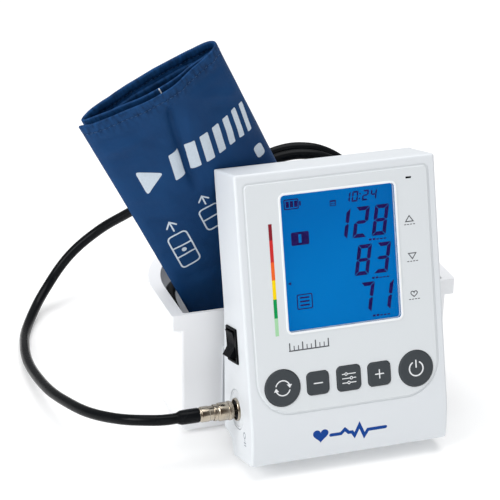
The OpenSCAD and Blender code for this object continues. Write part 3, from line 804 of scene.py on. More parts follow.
def front_pick(p, q):
    side = abs(abs(p.x) - UX) < 1e-4 and abs(p.x - q.x) < 1e-4
    seam = abs(p.y - SEAM) < 1e-3 and abs(q.y - SEAM) < 1e-3
    top = abs(p.y) < 1e-3 and abs(q.y) < 1e-3 and abs(p.z - TOP) < 1e-3 and abs(q.z - TOP) < 1e-3
    low = abs(p.z - BOT) < 1e-3 and abs(q.z - BOT) < 1e-3 and p.y < 10 and q.y < 10
    return (side and not seam) or top or low


def void(outline, axis, a, b):
    return solid("tool", outline, axis, a, b, smooth=False)


front = solid("front_shell", front_outline(0), "X", -UX, UX, 2.7, 5, front_pick)
tools = [void(front_outline(2.5), "X", -UX + 2.5, UX - 2.5),
         void(rrect(-65.05, 12.75, 65.05, 168.75, 25.2, 24, 4.2), "D", -3, 1.2),
         void(rrect(-39.4, 68.0, 39.4, 157.9, 2), "D", 0, 5),
         void(rrect(48.2, 159.9, 52.2, 161.2, 0.3), "D", 0, 5),
         void(rrect(17.5, 48, 36.5, 70, 0.8), "X", -UX - 1, -UX + 4),
         void(disc(AIR_D, AIR_V, 13.7), "X", -UX - 1, -UX + 1.2),
         void(disc(AIR_D, AIR_V, 6.2), "X", -UX - 1, -UX + 4),
         void(disc(28, 20, 5.6, 48), "X", UX - 4, UX + 1)]
tools += [void(key_outline(k, 0.35), "D", 0, 5) for k in KEYS]
combine(front, tools)
soften(front, 0.22, 2, 40)
paint(front, WHITE)
carry(front, "unit", "housing", "front_housing")

# ------------------------------------------------------------------ unit: rear housing
REAR = [(SEAM, TOP), (SEAM, BOT), (41.5, BOT), (43.5, -18.5), (43.5, -14), (45, -9.5), (50, -6.6), (59.7, -4.7),
        (BACK, 80), (BACK, TOP)]
REAR_IN = [(37.5, 172), (37.5, -18), (41, -18), (41, -13.5), (43.3, -7.9), (49.3, -4.2), (56.6, -2.7), (39, 79.8),
           (39, 172)]


def rounded(points, radii, n=5):
    """Outline with each corner rounded by its radius."""
    out = []
    m = len(points)
    for i, p in enumerate(points):
        r = radii.get(i, 0)
        a, p, b = Vector(points[i - 1]), Vector(p), Vector(points[(i + 1) % m])
        if r <= 0:
            out.append(tuple(p))
            continue
        u, w = (a - p).normalized(), (b - p).normalized()
        half = u.angle(w) / 2
        k = min(r / math.tan(half), 0.48 * (a - p).length, 0.48 * (b - p).length)
        s, e = p + u * k, p + w * k
        out += [tuple(s * (1 - t) ** 2 + p * 2 * t * (1 - t) + e * t * t) for t in (j / n for j in range(n + 1))]
    return out


def rear_pick(p, q):
    side = abs(abs(p.x) - UX) < 1e-4 and abs(p.x - q.x) < 1e-4
    seam = abs(p.y - SEAM) < 1e-3 and abs(q.y - SEAM) < 1e-3
    return side and not seam


rear = solid("rear_shell", rounded(REAR, {2: 1.5, 3: 1.5, 4: 2, 5: 3, 6: 4, 7: 6, 8: 60, 9: 1.2}, 6), "X", -UX, UX, 1.8, 4,
             rear_pick)
combine(rear, [void(REAR_IN, "X", -67.5, 67.5)])
SPOTS = [(61, 169.5), (61, 90), (61, 0)]
add = [solid("tool", rrect(2.5, 104.5, 67.2, 164.5, 1), "D", 21, 40.5, smooth=False)]
for s in (-1, 1):
    for x, v in SPOTS:
        add.append(solid("tool", disc(s * x, v, 4.5, 32), "D", SEAM, 57 if v < 10 else 40.5, smooth=False))
combine(rear, add, "UNION")
cut = [void(rrect(4, 106, 65.6, 163, 1.2), "D", 22.5, 45), void(rrect(4 - 1.2, 128, 8, 141, 1.0), "D", 40.2, 45)]
cut.append(solid("tool", disc(64.2, 40.3, 1.3, 20), "V", 105, 164, smooth=False))
for s in (-1, 1):
    for x, v in SPOTS:
        cut.append(void(disc(s * x, v, 1.6, 24), "D", 30, 62))
        cut.append(void(disc(s * x, v, 3.2, 32), "D", 43 if v < 10 else SEAM + 1.2, 64))
cut.append(void(disc(AIR_D, AIR_V, 13.7), "X", -UX - 1, -UX + 1.2))
# shallow vent slots and a bare recessed panel on the back, left of the battery door
for k in range(6):
    cut.append(void(rrect(-52, 132 + 5 * k, -20, 133.6 + 5 * k, 0.8, 5), "D", 40.6, 45))
cut.append(void(rrect(-54, 104, -18, 124, 1.5, 5), "D", 41.1, 45))
combine(rear, cut)
soften(rear, 0.2, 2, 40)
paint(rear, WHITE_REAR)
carry(rear, "unit", "housing_rear", "rear_housing")

# battery door on its pin, with a finger notch and raised ribs
door = solid("door_panel", rrect(4.4, 106.4, 64.2, 162.6, 1.0), "D", 39, 41.5)
combine(door, [solid("tool", disc(64.2, 40.3, 1.2, 24), "V", 105.2, 163.8, smooth=False)], "UNION")
combine(door, [void(rrect(7.5, 126, 12.5, 143, 2.2), "D", 40.7, 43)] +
        [void(rrect(15 + 1.6 * k, 130, 15.7 + 1.6 * k, 139, 0.3, 3), "D", 41.2, 43) for k in range(5)])
soften(door, 0.2, 2, 40)
paint(door, WHITE_REAR)
carry(door, "door", "housing_rear", "battery_door")

# ------------------------------------------------------------------ unit: face plate and what is printed on it
plate = solid("face_panel", rrect(-63.8, 14.0, 63.8, 167.5, 23.95, 24, 3.0), "D", -0.6, 1.0, 0.75, 5,
              lambda p, q: abs(p.y + 0.6) < 1e-4 and abs(q.y + 0.6) < 1e-4)
combine(plate, [solid("tool", rrect(-65.0, 12.8, 65.0, 168.7, 25.15, 24, 4.15), "D", 0.25, 1.2, smooth=False)], "UNION")
combine(plate, [void(rrect(*(a - 0.15 if i < 2 else a + 0.15 for i, a in enumerate(WIN)), 2.6), "D", -2, 3),
                void(rrect(48.2, 159.9, 52.2, 161.2, 0.3), "D", -2, 3)] +
        [void(key_outline(k, 0.35), "D", -2, 3) for k in KEYS])
soften(plate, 0.16, 2, 50)
paint(plate, PLATE)
carry(plate, "unit", "plate", "faceplate")


# raised lip round the display window, in a paler white than the plate as a painted highlight along the window's edge
lip_ring = solid("window_rim", rrect(-41.3, 66.1, 41.3, 159.8, 4.2, 10), "D", -1.0, -0.3)
combine(lip_ring, [void(rrect(-39.75, 67.65, 39.75, 158.25, 2.6, 10), "D", -2, 1)])
soften(lip_ring, 0.33, 3, 50)
paint(lip_ring, RIM_PAINTED_HIGHLIGHT)
carry(lip_ring, "unit", "plate")


def print_on_plate(x, v, h):
    return tuple(on_face(x, v, h + 0.6))


marks = [140.7, 130.1, 115.6, 103.7, 91.1, 78.5, 66.6]
bars = [flat_shapes("bar", [[(-49.2, marks[i + 1]), (-46.8, marks[i + 1]), (-46.8, marks[i]), (-49.2, marks[i])]], m,
                    print_on_plate, 0.05) for i, m in enumerate(BARS)]
carry(joined("range_bar_print", bars), "unit")

# small generic signs beside the three rows: triangle up, triangle down, heart; each with a short underline
signs = []
for cx, cv, kind in ((49.2, 132, "up"), (49.9, 107.2, "down"), (49.7, 81.6, "heart")):
    if kind == "heart":
        pts = []
        for k in range(40):
            t = 2 * math.pi * k / 40
            pts.append((cx + 2.3 * math.sin(t) ** 3, cv + 1.0 + 0.14 * (13 * math.cos(t) - 5 * math.cos(2 * t) -
                                                                       2 * math.cos(3 * t) - math.cos(4 * t))))
        signs += [stroke([(x, v) for x, v in pts], 0.62, True)]
    else:
        s = 1 if kind == "up" else -1
        signs += [stroke([(cx - 2.7, cv + 1.0 - 1.7 * s), (cx, cv + 1.0 + 2.1 * s), (cx + 2.7, cv + 1.0 - 1.7 * s)], 0.62, True)]
    for k in range(4):
        signs.append(stroke([(cx - 3.6 + 2.1 * k, cv - 2.7), (cx - 2.6 + 2.1 * k, cv - 2.7)], 0.55))
carry(flat_shapes("plate_signs_print", signs, INK_GREY, print_on_plate, 0.04), "unit")

# ------------------------------------------------------------------ window and display
paint(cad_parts["display_window"], WINDOW)
paint(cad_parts["lcd_panel"], LCD)
paint(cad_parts["lcd_backlight"], GUIDE)
paint(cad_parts["lcd_frame"], GREY)
paint(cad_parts["status_window"], BLACK)

SEG = {"0": "abcdef", "1": "bc", "2": "abdeg", "3": "abcdg", "4": "bcfg", "5": "acdfg", "6": "acdefg", "7": "abc",
       "8": "abcdefg", "9": "abcdfg"}


def digit(ch, x, v, w, h, t, slant=0.19):
    """Seven-segment digit: lower left corner (x, v), size w by h, bar thickness t."""
    g = t * 0.07
    e = t / 2
    m = h / 2
    bars = {
        "a": [(2 * g, h), (w - 2 * g, h), (w - t - g, h - t), (t + g, h - t)],
        "d": [(2 * g, 0), (t + g, t), (w - t - g, t), (w - 2 * g, 0)],
        "g": [(e * 0.7 + g, m), (t + g, m + e * 0.85), (w - t - g, m + e * 0.85), (w - e * 0.7 - g, m),
              (w - t - g, m - e * 0.85), (t + g, m - e * 0.85)],
        "f": [(0, h - 2 * g), (t, h - t - g), (t, m + e * 0.85 + g), (e * 0.7, m + g), (0, m + e * 0.5 + g)],
        "e": [(0, 2 * g), (0, m - e * 0.5 - g), (e * 0.7, m - g), (t, m - e * 0.85 - g), (t, t + g)],
        "b": [(w, h - 2 * g), (w, m + e * 0.5 + g), (w - e * 0.7, m + g), (w - t, m + e * 0.85 + g), (w - t, h - t - g)],
        "c": [(w, 2 * g), (w - t, t + g), (w - t, m - e * 0.85 - g), (w - e * 0.7, m - g), (w, m - e * 0.5 - g)],
    }
    return [[(x + p + slant * q, v + q) for p, q in bars[s]] for s in SEG[ch]]


def on_lcd(x, v, h):
    p = SLAB @ (Vector((x, 2.9 - h * 0.5, v)) * MM)
    return tuple(p / MM)


segs = []
for text, xs, v, w, h, t in (("128", (-4.0, 9.6, 23.2), 124.0, 9.9, 20.4, 2.6),
                             ("83", (9.5, 23.1), 98.8, 9.9, 20.3, 2.6),
                             ("71", (9.9, 23.5), 73.4, 9.9, 20.4, 2.6)):
    for ch, x in zip(text, xs):
        segs += digit(ch, x, v, w, h, t)
for ch, x in zip("1024", (4.9, 10.4, 17.8, 23.6)):
    segs += digit(ch, x, 148.2, 4.3, 6.9, 1.1)
segs += [disc(16.3, 149.9, 0.55, 12), disc(16.9, 153.0, 0.55, 12)]
# battery sign
segs.append([rrect(-36.5, 148.0, -26.2, 154.9, 0.9, 3), rrect(-35.8, 148.7, -26.9, 154.2, 0.5, 3)[::-1]])
segs += [rrect(-35.1 + 2.9 * k, 149.4, -32.9 + 2.9 * k, 153.5, 0.2, 2) for k in range(3)]
segs.append(rrect(-25.8, 149.9, -24.7, 153.0, 0.3, 2))
# calendar sign
segs.append([rrect(-4.7, 147.0, -0.3, 150.9, 0.3, 2), rrect(-4.2, 147.5, -0.8, 149.8, 0.2, 2)[::-1]])
segs += [rrect(-3.8 + 1.05 * k, 148.1, -3.2 + 1.05 * k, 149.1, 0.1, 1) for k in range(3)]
# filled badge with a bar cut out of it
badge = rrect(-32.9, 124.0, -20.5, 132.8, 1.0, 3)
segs.append([badge, [(-27.8, 125.6), (-27.8, 131.2), (-25.8, 131.2), (-25.8, 125.6)]])
# boxed three-line sign
segs.append([rrect(-31.8, 81.4, -20.8, 91.6, 1.0, 3), rrect(-31.1, 82.1, -21.5, 90.9, 0.7, 3)[::-1]])
segs += [rrect(-29.6, 83.6 + 2.5 * k, -23.0, 84.7 + 2.5 * k, 0.3, 2) for k in range(3)]
segs.append([(-37.1, 99.4), (-34.9, 98.2), (-34.9, 100.6)][::-1])
# short marks under each row
for x0, v in ((21.2, 121.2), (21.8, 95.4), (20.8, 70.1)):
    for k in range(5):
        segs.append(rrect(x0 + 2.6 * k, v, x0 + 1.9 + 2.6 * k, v + (1.3 if k < 2 else 0.8), 0.15, 1))
carry(flat_shapes("lcd_segments", segs, SEGMENT, on_lcd, 0.12), "unit")

# ------------------------------------------------------------------ buttons
BODY = {"button_mode": "mode_key", "button_minus": "minus_key", "button_set": "set_key", "button_plus": "plus_key",
        "button_start": "start_key"}


def keycap(name):
    """Cap with a rolled edge and a slightly dished top, its flange and stem below."""
    x, v = KEYS[name]
    rings = []
    rim = 0.9
    for k in range(5):
        a = math.radians(90 * k / 4)
        rings.append((-rim * (1 - math.sin(a)), -1.4 + rim * (1 - math.cos(a))))
    rings = [(-6.0, -1.28), (-3.6, -1.33), (-1.8, -1.39)] + rings + [(0, 2.8), (1.3, 2.8), (1.3, 4.0)]
    verts, faces, n = [], [], None
    for grow, d in rings:
        if name in HALF:
            h = HALF[name] + grow
            line = rrect(x - h, v - h, x + h, v + h, max(0.8, 3.2 + grow * 0.55), 8)
        else:
            line = disc(x, v, 12.3 + grow, 96)
        n = len(line)
        verts += [(p, d, q) for p, q in line]
    for i in range(len(rings) - 1):
        for k in range(n):
            j = (k + 1) % n
            faces.append((i * n + k, i * n + j, (i + 1) * n + j, (i + 1) * n + k))
    faces.append(tuple(range(n)))
    faces.append(tuple((len(rings) - 1) * n + k for k in range(n))[::-1])
    bm = bmesh.new()
    vs = [bm.verts.new(p) for p in verts]
    for f in faces:
        bm.faces.new([vs[i] for i in f])
    prism(bm, disc(x, v, 3, 32), "D", 3.9, 5.2)
    return from_bm(name + "_cap", bm, KEY, SLAB, True, 40)


def on_key(name, x0, v0):
    def place(x, v, h):
        r = math.hypot(x - x0, v - v0)
        size = HALF.get(name, 12.3)
        d = -1.28 - 0.11 * min(1.0, (r / size) ** 2)
        return tuple((SLAB @ (Vector((x, d - h, v)) * MM)) / MM)
    return place


def arc(cx, cv, r, a0, a1, n=22):
    return [(cx + r * math.cos(math.radians(a0 + (a1 - a0) * k / n)), cv + r * math.sin(math.radians(a0 + (a1 - a0) * k / n)))
            for k in range(n + 1)]


def signs_of(name):
    x, v = KEYS[name]
    if name == "button_minus":
        return [stroke([(x - 2.9, v), (x + 2.9, v)], 0.8)]
    if name == "button_plus":
        return [stroke([(x - 2.9, v), (x + 2.9, v)], 0.8), stroke([(x, v - 2.9), (x, v - 0.4)], 0.8),
                stroke([(x, v + 0.4), (x, v + 2.9)], 0.8)]
    if name == "button_set":
        out = []
        for k, px in ((0, -2.0), (1, 1.6), (2, -0.3)):
            y = v + 3.0 - 3.0 * k
            out += [stroke([(x - 4.7, y), (x + px - 1.2, y)], 0.6), stroke([(x + px + 1.2, y), (x + 4.7, y)], 0.6),
                    stroke(arc(x + px, y, 0.85, 0, 330, 12), 0.55)]
        return out
    if name == "button_mode":
        r = 5.0
        out = [stroke(arc(x, v, r, 20, 160), 0.8), stroke(arc(x, v, r, 200, 340), 0.8)]
        for a in (20, 200):
            px, pv = x + r * math.cos(math.radians(a)), v + r * math.sin(math.radians(a))
            s = 1 if a == 20 else -1
            out.append([(px - 1.9 * s, pv + 0.4 * s), (px + 1.7 * s, pv + 0.4 * s), (px + 0.1 * s, pv - 2.1 * s)][::s])
        return out
    return [stroke(arc(x, v, 4.9, 122, 418, 40), 0.95), stroke([(x, v + 0.9), (x, v + 5.6)], 0.95)]


for name in KEYS:
    cap = keycap(name)
    carry(cap, BODY[name], "button", name)
    carry(flat_shapes(name + "_sign", signs_of(name), INK_WHITE, on_key(name, *KEYS[name]), 0.04), BODY[name])

# ------------------------------------------------------------------ prints on the lower face and the left side
INK_BLUE = ink("ink_blue", (0.002, 0.052, 0.285))


def on_chin(x, v, h):
    d = 90 - math.sqrt(8100 - (12 - v) ** 2) if v < 12 else 0.0
    return tuple((SLAB @ (Vector((x, d - h, v)) * MM)) / MM)


trace = [(-14.6, -5.4), (-7.4, -5.4), (-4.6, -2.7), (-1.9, -5.4), (0.5, -5.4), (2.4, -8.2), (5.8, -1.3), (9.4, -9.3), (11.9, -5.4),
         (24.6, -5.4)]
mark = []
for k in range(48):
    t = 2 * math.pi * k / 48
    mark.append((-21.8 + 5.5 * math.sin(t) ** 3, -4.4 + 0.325 * (13 * math.cos(t) - 5 * math.cos(2 * t) - 2 * math.cos(3 * t) -
                                                              math.cos(4 * t))))
carry(cell_print("chin_print", [stroke(trace, 2.3), mark[::-1]], INK_BLUE, on_chin, 0.05, 1.0), "unit")
ruler = [stroke([(-40.4, 55.5), (-12.8, 55.5)], 0.8)]
for k in range(10):
    ruler.append(stroke([(-40.0 + 3.0 * k, 56.1), (-40.0 + 3.0 * k, 60.6 if k % 3 == 0 else 58.6)], 0.8 if k % 3 == 0 else 0.6))
carry(flat_shapes("scale_print", ruler, INK_GREY, print_on_plate, 0.04), "unit")


def on_side(d, v, h):
    return tuple((SLAB @ (Vector((-UX - h, d, v)) * MM)) / MM)


side = [stroke(arc(16.0, -0.6, 1.9, 0, 345, 20), 0.7), stroke([(16.0, -2.9), (16.0, -5.6)], 0.7),
        stroke([(14.0, -5.9), (18.0, -5.9)], 0.7), stroke([(14.4, -7.6), (17.6, -7.6)], 0.7)]
side = [[(p[0], p[1]) for p in s][::-1] for s in side]
INK_FAINT = ink("ink_faint_grey", (0.24, 0.27, 0.32))
carry(flat_shapes("side_sign_print", side, INK_FAINT, on_side, 0.04), "unit")

# ------------------------------------------------------------------ power switch
SW_D, SW_V = 27.0, 59.0


def outer_face(x0):
    return lambda p, q: abs(p.x - x0) < 1e-3 and abs(q.x - x0) < 1e-3


bezel = solid("switch_bezel", rrect(SW_D - 10.5, SW_V - 12, SW_D + 10.5, SW_V + 12, 1.3), "X", -71.2, -70, 0.6, 3,
              outer_face(-71.2))
combine(bezel, [solid("tool", rrect(17.5, 48, 36.5, 70, 0.8), "X", -70.5, -54, smooth=False)] +
        [solid("tool", [(24.5, v - 0.4), (29.5, v - 0.4), (29.5, v + 0.4), (24.5, v + 0.4)], "X", -54.5, -48, smooth=False)
         for v in (53, 65)], "UNION")
combine(bezel, [void(rrect(19.2, 48.8, 34.8, 69.2, 0.5), "X", -73, -58), void(disc(-67, 59, 1.35, 24), "D", 18.4, 35.6)])
soften(bezel, 0.22, 2, 45)
paint(bezel, BLACK)
carry(bezel, "unit", "black_plastic", "switch_body")

outer = [(-4 - 3.2 * (abs(v) / 8.6) ** 1.35, v) for v in (8.6 - 17.2 * k / 24 for k in range(25))]
prof = [(x, v) for x, v in outer[::-1]] + [(-1, 8.2), (3.4, 2), (3.4, -2), (-1, -8.2)]
prof = rounded(prof, {0: 0.6, 24: 0.6, 25: 1.0, 26: 0.8, 27: 0.8, 28: 1.0}, 4)
ra = math.radians(10)
prof = [(-67 + x * math.cos(ra) + v * math.sin(ra), 59 - x * math.sin(ra) + v * math.cos(ra)) for x, v in prof]
rocker = solid("rocker_key", prof, "D", 19.6, 34.4)
combine(rocker, [solid("tool", disc(-67, 59, 1.2, 24), "D", 18.6, 35.4, smooth=False)], "UNION")
soften(rocker, 0.45, 3, 50)
GLOSS = moulded("rocker_black", (0.0040, 0.0046, 0.0058), 0.24, 700, 0.000004, 0.15, spec=0.010)
paint(rocker, GLOSS)
carry(rocker, "rocker", "black_plastic", "power_rocker")


# ------------------------------------------------------------------ air connector, plug and strain relief
def ring_piece(name, profile, mat, body, slot, *nodes, n=96, shape=None, angle=35):
    """Turned ring about the air connector's axis: closed profile of (x, radius)."""
    bm = bmesh.new()
    rows = []
    for a, r in profile:
        row = []
        for k in range(n):
            t = 2 * math.pi * k / n
            rr = shape(t, a, r) if shape else r
            row.append(bm.verts.new((a, AIR_D + rr * math.cos(t), AIR_V + rr * math.sin(t))))
        rows.append(row)
    m = len(rows)
    for i in range(m):
        for k in range(n):
            j = (k + 1) % n
            bm.faces.new((rows[i][k], rows[i][j], rows[(i + 1) % m][j], rows[(i + 1) % m][k]))
    return carry(from_bm(name, bm, mat, SLAB, True, angle), body, slot, *nodes)


def closed(corners, r=0.3, n=3):
    return rounded(corners, {i: r for i in range(len(corners))}, n)


ring_piece("socket_collar_ring", closed([(-68.8, 6.2), (-68.8, 13.25), (-69.75, 13.25), (-69.95, 12.9), (-69.95, 12.0),
                                         (-69.6, 11.9), (-69.6, 8.4), (-69.9, 8.1), (-69.9, 6.2)], 0.12, 2), WHITE, "unit",
           "grey_plastic", "socket_flange")
ring_piece("air_socket_body", closed([(-70.1, 3.6), (-70.3, 4.4), (-70.3, 6.6), (-70.0, 6.8), (-69.9, 6.1), (-52, 6.1),
                                      (-52, 1.4), (-57.5, 1.4), (-57.5, 3.6)], 0.12, 2), BLACK_MATT, "unit", "black_plastic",
           "air_socket", shape=lambda t, a, r: r - (0.9 if a < -70.05 and 4.0 < r and abs((t * 3 / math.pi) % 2 - 1) < 0.18 else 0))
ring_piece("socket_bright_ring", closed([(-69.95, 6.95), (-69.95, 7.8), (-71.2, 7.8), (-71.6, 7.5), (-71.6, 6.95)], 0.16, 3),
           NICKEL, "unit", "nickel")
plug = ring_piece("plug_body", closed([
    (-96.9, 1.7), (-96.9, 4.5), (-96.5, 4.9), (-95.9, 4.9), (-95.6, 5.15), (-95.1, 5.3), (-90.4, 5.3), (-90.0, 5.0),
    (-73.2, 5.0), (-73.0, 4.8), (-73.0, 3.9), (-72.6, 3.4), (-58.4, 3.4), (-58.0, 3.0), (-58.0, 1.7)], 0.14, 2), NICKEL, "unit",
                  "nickel", "hose_plug")


def knurl(t, a, r):
    if r > 6.25 and -76.6 < a < -74.6:
        return r - 0.12 * (0.5 + 0.5 * math.cos(36 * t))
    return r


collar_piece = ring_piece("sliding_collar", closed([
    (-87.0, 5.25), (-87.0, 5.4), (-86.7, 5.6), (-84.9, 5.6), (-84.6, 5.42), (-84.0, 5.42), (-83.7, 5.7), (-83.3, 6.1),
    (-82.9, 6.2), (-77.6, 6.2), (-77.2, 6.0), (-76.9, 6.0), (-76.6, 6.35), (-76.3, 6.5), (-74.9, 6.5), (-74.6, 6.2),
    (-73.9, 6.0), (-73.3, 5.7), (-73.3, 5.25)], 0.12, 2), NICKEL, "collar", "nickel", "plug_collar", n=160, shape=knurl)
sleeve = ring_piece("strain_sleeve", closed([
    (-97.0, 1.7), (-97.0, 4.7), (-97.5, 5.0), (-103.0, 5.0), (-108.0, 4.95), (-109.4, 4.8), (-110.6, 4.3), (-111.6, 3.85),
    (-112.0, 3.72), (-112.0, 1.7)], 0.2, 2), HOSE, "unit", "rubber_black", "hose_sleeve")

# ------------------------------------------------------------------ battery cells
cells = []
for i, x in enumerate((12.5, 27.0, 41.5, 56.0)):
    up = 1 if i % 2 else -1
    pts = [(-24.6, 0.01), (-24.6, 5.6), (-24.3, 6.9), (-23.7, 7.2), (-22.9, 7.2), (-22.8, 7.12), (22.6, 7.12), (22.7, 7.2),
           (23.4, 7.2), (23.9, 6.8), (24.0, 5.9), (23.9, 3.2), (24.0, 2.7), (25.2, 2.6), (25.35, 2.2), (25.35, 0.01)]
    pts = [(up * a, r) for a, r in pts]
    cells.append(lathe("cell", pts if up > 0 else pts[::-1], (x, 30.5, 134.5), "V", 40, CELL, angle=30))
carry(joined("battery_cells", cells, CELL), "unit", "cell", "batteries")

# ------------------------------------------------------------------ basket
def basket_line(o, f=-57.0, k=2.5, arc_n=44, k_n=6):
    """Plan outline, o outside the body's nominal wall; the front stays at y = f."""
    r, x = 69 + o, 97 + o
    out = []
    for cx, cy, rr, a0, n in ((-x + k, f + k, k, 180, k_n), (x - k, f + k, k, 270, k_n), (28, -12, r, 0, arc_n),
                              (-28, -12, r, 90, arc_n)):
        out += [(cx + rr * math.cos(math.radians(a0 + 90 * i / n)), cy + rr * math.sin(math.radians(a0 + 90 * i / n)))
                for i in range(n + 1)]
    return out


def loft(name, rings):
    """Closed mesh from rings of (outline, z)."""
    bm = bmesh.new()
    rows = [[bm.verts.new((x, y, z)) for x, y in line] for line, z in rings]
    n = len(rows[0])
    for a, b in zip(rows, rows[1:]):
        for i in range(n):
            bm.faces.new((a[i], a[(i + 1) % n], b[(i + 1) % n], b[i]))
    bm.faces.new(rows[0][::-1])
    bm.faces.new(rows[-1])
    return from_bm(name, bm, None, None, False)


def draft(z):
    return -1.4 * (1 - z / 92.5)


def shell_rings(inset, z0, r, top, front):
    """Rings of a tub: floor at z0 with edge radius r."""
    out = []
    for i in range(9):
        a = math.radians(90 * i / 8)
        z = z0 + r * (1 - math.cos(a))
        e = r * (1 - math.sin(a))
        out.append((basket_line(-inset - e + draft(z), front + e, max(1.5, 2.5 - inset * 0.4 + e * 0.3)), z))
    for z in (z0 + r + (top - z0 - r) * j / 4 for j in range(1, 5)):
        out.append((basket_line(-inset + draft(min(z, 92.5)), front, max(1.5, 2.5 - inset * 0.4)), z))
    return out


tub = loft("basket_tub", shell_rings(0, 0, 9, 92.5, -57))
lip = loft("tool", [(basket_line(6.0, -57, 1.4), 81.0), (basket_line(6.0, -57, 1.4), 92.5)])
combine(lip, [loft("tool2", [(basket_line(3.5, -54.5, 1), 78.0), (basket_line(3.5, -54.5, 1), 90.0)])])
combine(tub, [lip], "UNION")
combine(tub, [loft("tool", shell_rings(2.5, 2.5, 7, 95, -54.5))])
holes = []
for s in (-1, 1):
    bm = bmesh.new()
    lo = [bm.verts.new((45 * s + p, -60, 40 + q)) for p, q in disc(0, 0, 2.1, 24)]
    hi = [bm.verts.new((45 * s + p, -52, 40 + q)) for p, q in disc(0, 0, 2.1, 24)]
    bm.faces.new(lo[::-1])
    bm.faces.new(hi)
    for i in range(24):
        bm.faces.new((lo[i], lo[(i + 1) % 24], hi[(i + 1) % 24], hi[i]))
    holes.append(from_bm("tool", bm, None, None, False))
combine(tub, holes)
soften(tub, 0.9, 3, 50, 40)
paint(tub, BASKET)
carry(tub, "unit", "basket", "basket")

# ------------------------------------------------------------------ cuff: one band of cloth, wound flat
CUFF_LEN = 190.0
MOUTH = [(-52.0, 4.4), (-46, -0.6), (-34, -5.0), (-17, -9.8), (-4, -12.6), (5, -13.3), (14, -12.6), (24, -8.8), (34, -5.4),
         (42, -2.8), (47.6, -0.2), (50.8, 3.0), (51.2, 6.2),
         (48.6, 9.2), (42, 11.6), (32, 13.6), (18, 15.6), (2, 16.6), (-16, 17.0), (-32, 16.0), (-41, 14.0), (-46, 11.8),
         (-47.9, 9.4), (-46.6, 7.4),
         (-40, 4.6), (-30, 1.4), (-18, -1.8), (-6, -5.2), (6, -6.4), (18, -5.8), (28, -3.4), (37, 0.2), (43.5, 3.2),
         (46.4, 5.8), (44.6, 8.2),
         (38, 10.2), (28, 12.2), (16, 13.9), (2, 15.0), (-16, 15.4), (-31, 14.4), (-39, 12.5),
         (-43.2, 10.4), (-42.4, 8.0),
         (-37, 5.6), (-29, 2.9), (-18, -0.2), (-6, -3.6), (6, -4.8), (17, -4.2), (26, -2.0), (32, 0.2)]
FOOT_LINE = [(-50.6, -6.4), (-46, -7.8), (-34, -8.8), (-17, -9.5), (-4, -9.7), (5, -9.7), (14, -9.6), (24, -9.4), (34, -8.8),
             (42, -7.8), (47.6, -5.6), (50.6, -2.2), (51.3, 1.2),
             (49.6, 5.0), (43, 8.2), (32, 9.2), (18, 9.6), (2, 9.8), (-16, 9.7), (-32, 9.2), (-41, 7.6), (-46.4, 4.4),
             (-48.4, 0.2), (-46.6, -3.4),
             (-40, -5.6), (-30, -6.5), (-18, -6.9), (-6, -7.0), (6, -7.0), (18, -6.9), (28, -6.4), (37, -5.4), (43.5, -3.2),
             (47.0, 0.4), (46.0, 3.8),
             (40, 6.6), (28, 7.7), (16, 8.1), (2, 8.2), (-16, 8.1), (-31, 7.4), (-39, 5.6),
             (-43.6, 1.4), (-42.2, -2.4),
             (-37, -4.1), (-29, -4.9), (-18, -5.3), (-6, -5.4), (6, -5.4), (17, -5.3), (26, -4.8), (32, -4.3)]
COLS, ROWS = 300, 104


def through(keys, count):
    """Smooth line through the keys (centripetal), resampled at even steps; gives the points and the length."""
    P = [Vector(k) for k in keys]
    P = [P[0] * 2 - P[1]] + P + [P[-1] * 2 - P[-2]]
    dense = []
    for i in range(1, len(P) - 2):
        p0, p1, p2, p3 = P[i - 1:i + 3]
        t0 = 0.0
        t1 = t0 + (p1 - p0).length ** 0.5
        t2 = t1 + (p2 - p1).length ** 0.5
        t3 = t2 + (p3 - p2).length ** 0.5
        for k in range(10):
            t = t1 + (t2 - t1) * k / 10
            a1 = p0 * ((t1 - t) / (t1 - t0)) + p1 * ((t - t0) / (t1 - t0))
            a2 = p1 * ((t2 - t) / (t2 - t1)) + p2 * ((t - t1) / (t2 - t1))
            a3 = p2 * ((t3 - t) / (t3 - t2)) + p3 * ((t - t2) / (t3 - t2))
            b1 = a1 * ((t2 - t) / (t2 - t0)) + a2 * ((t - t0) / (t2 - t0))
            b2 = a2 * ((t3 - t) / (t3 - t1)) + a3 * ((t - t1) / (t3 - t1))
            dense.append(b1 * ((t2 - t) / (t2 - t1)) + b2 * ((t - t1) / (t2 - t1)))
    dense.append(P[-2].copy())
    run = [0.0]
    for a, b in zip(dense, dense[1:]):
        run.append(run[-1] + (b - a).length)
    out, j = [], 0
    for k in range(count):
        want = run[-1] * k / (count - 1)
        while j < len(run) - 2 and run[j + 1] < want:
            j += 1
        f = (want - run[j]) / max(1e-9, run[j + 1] - run[j])
        out.append(dense[j].lerp(dense[j + 1], min(1.0, f)))
    return out, run[-1]


CREASE = [(3.7, 179), (0.3, 162), (-2.4, 147.6), (-4.6, 129.7), (-5.5, 108)]


def crease(x, z):
    """Depth share of the soft valley down the front."""
    if not 104 < z < 182:
        return 0.0
    for (x0, z0), (x1, z1) in zip(CREASE, CREASE[1:]):
        if z1 <= z <= z0:
            cx = x0 + (x1 - x0) * (z0 - z) / (z0 - z1)
            break
    else:
        cx = CREASE[0][0] if z > CREASE[0][1] else CREASE[-1][0]
    w = 1.9 + 0.9 * abs(math.sin(z * 0.09))
    near = math.exp(-((x - cx) / w) ** 2) + 0.75 * math.exp(-((x - cx - 3.0) / 8.5) ** 2)
    return near * ease(z, 104, 122) * (1 - ease(z, 172, 182))


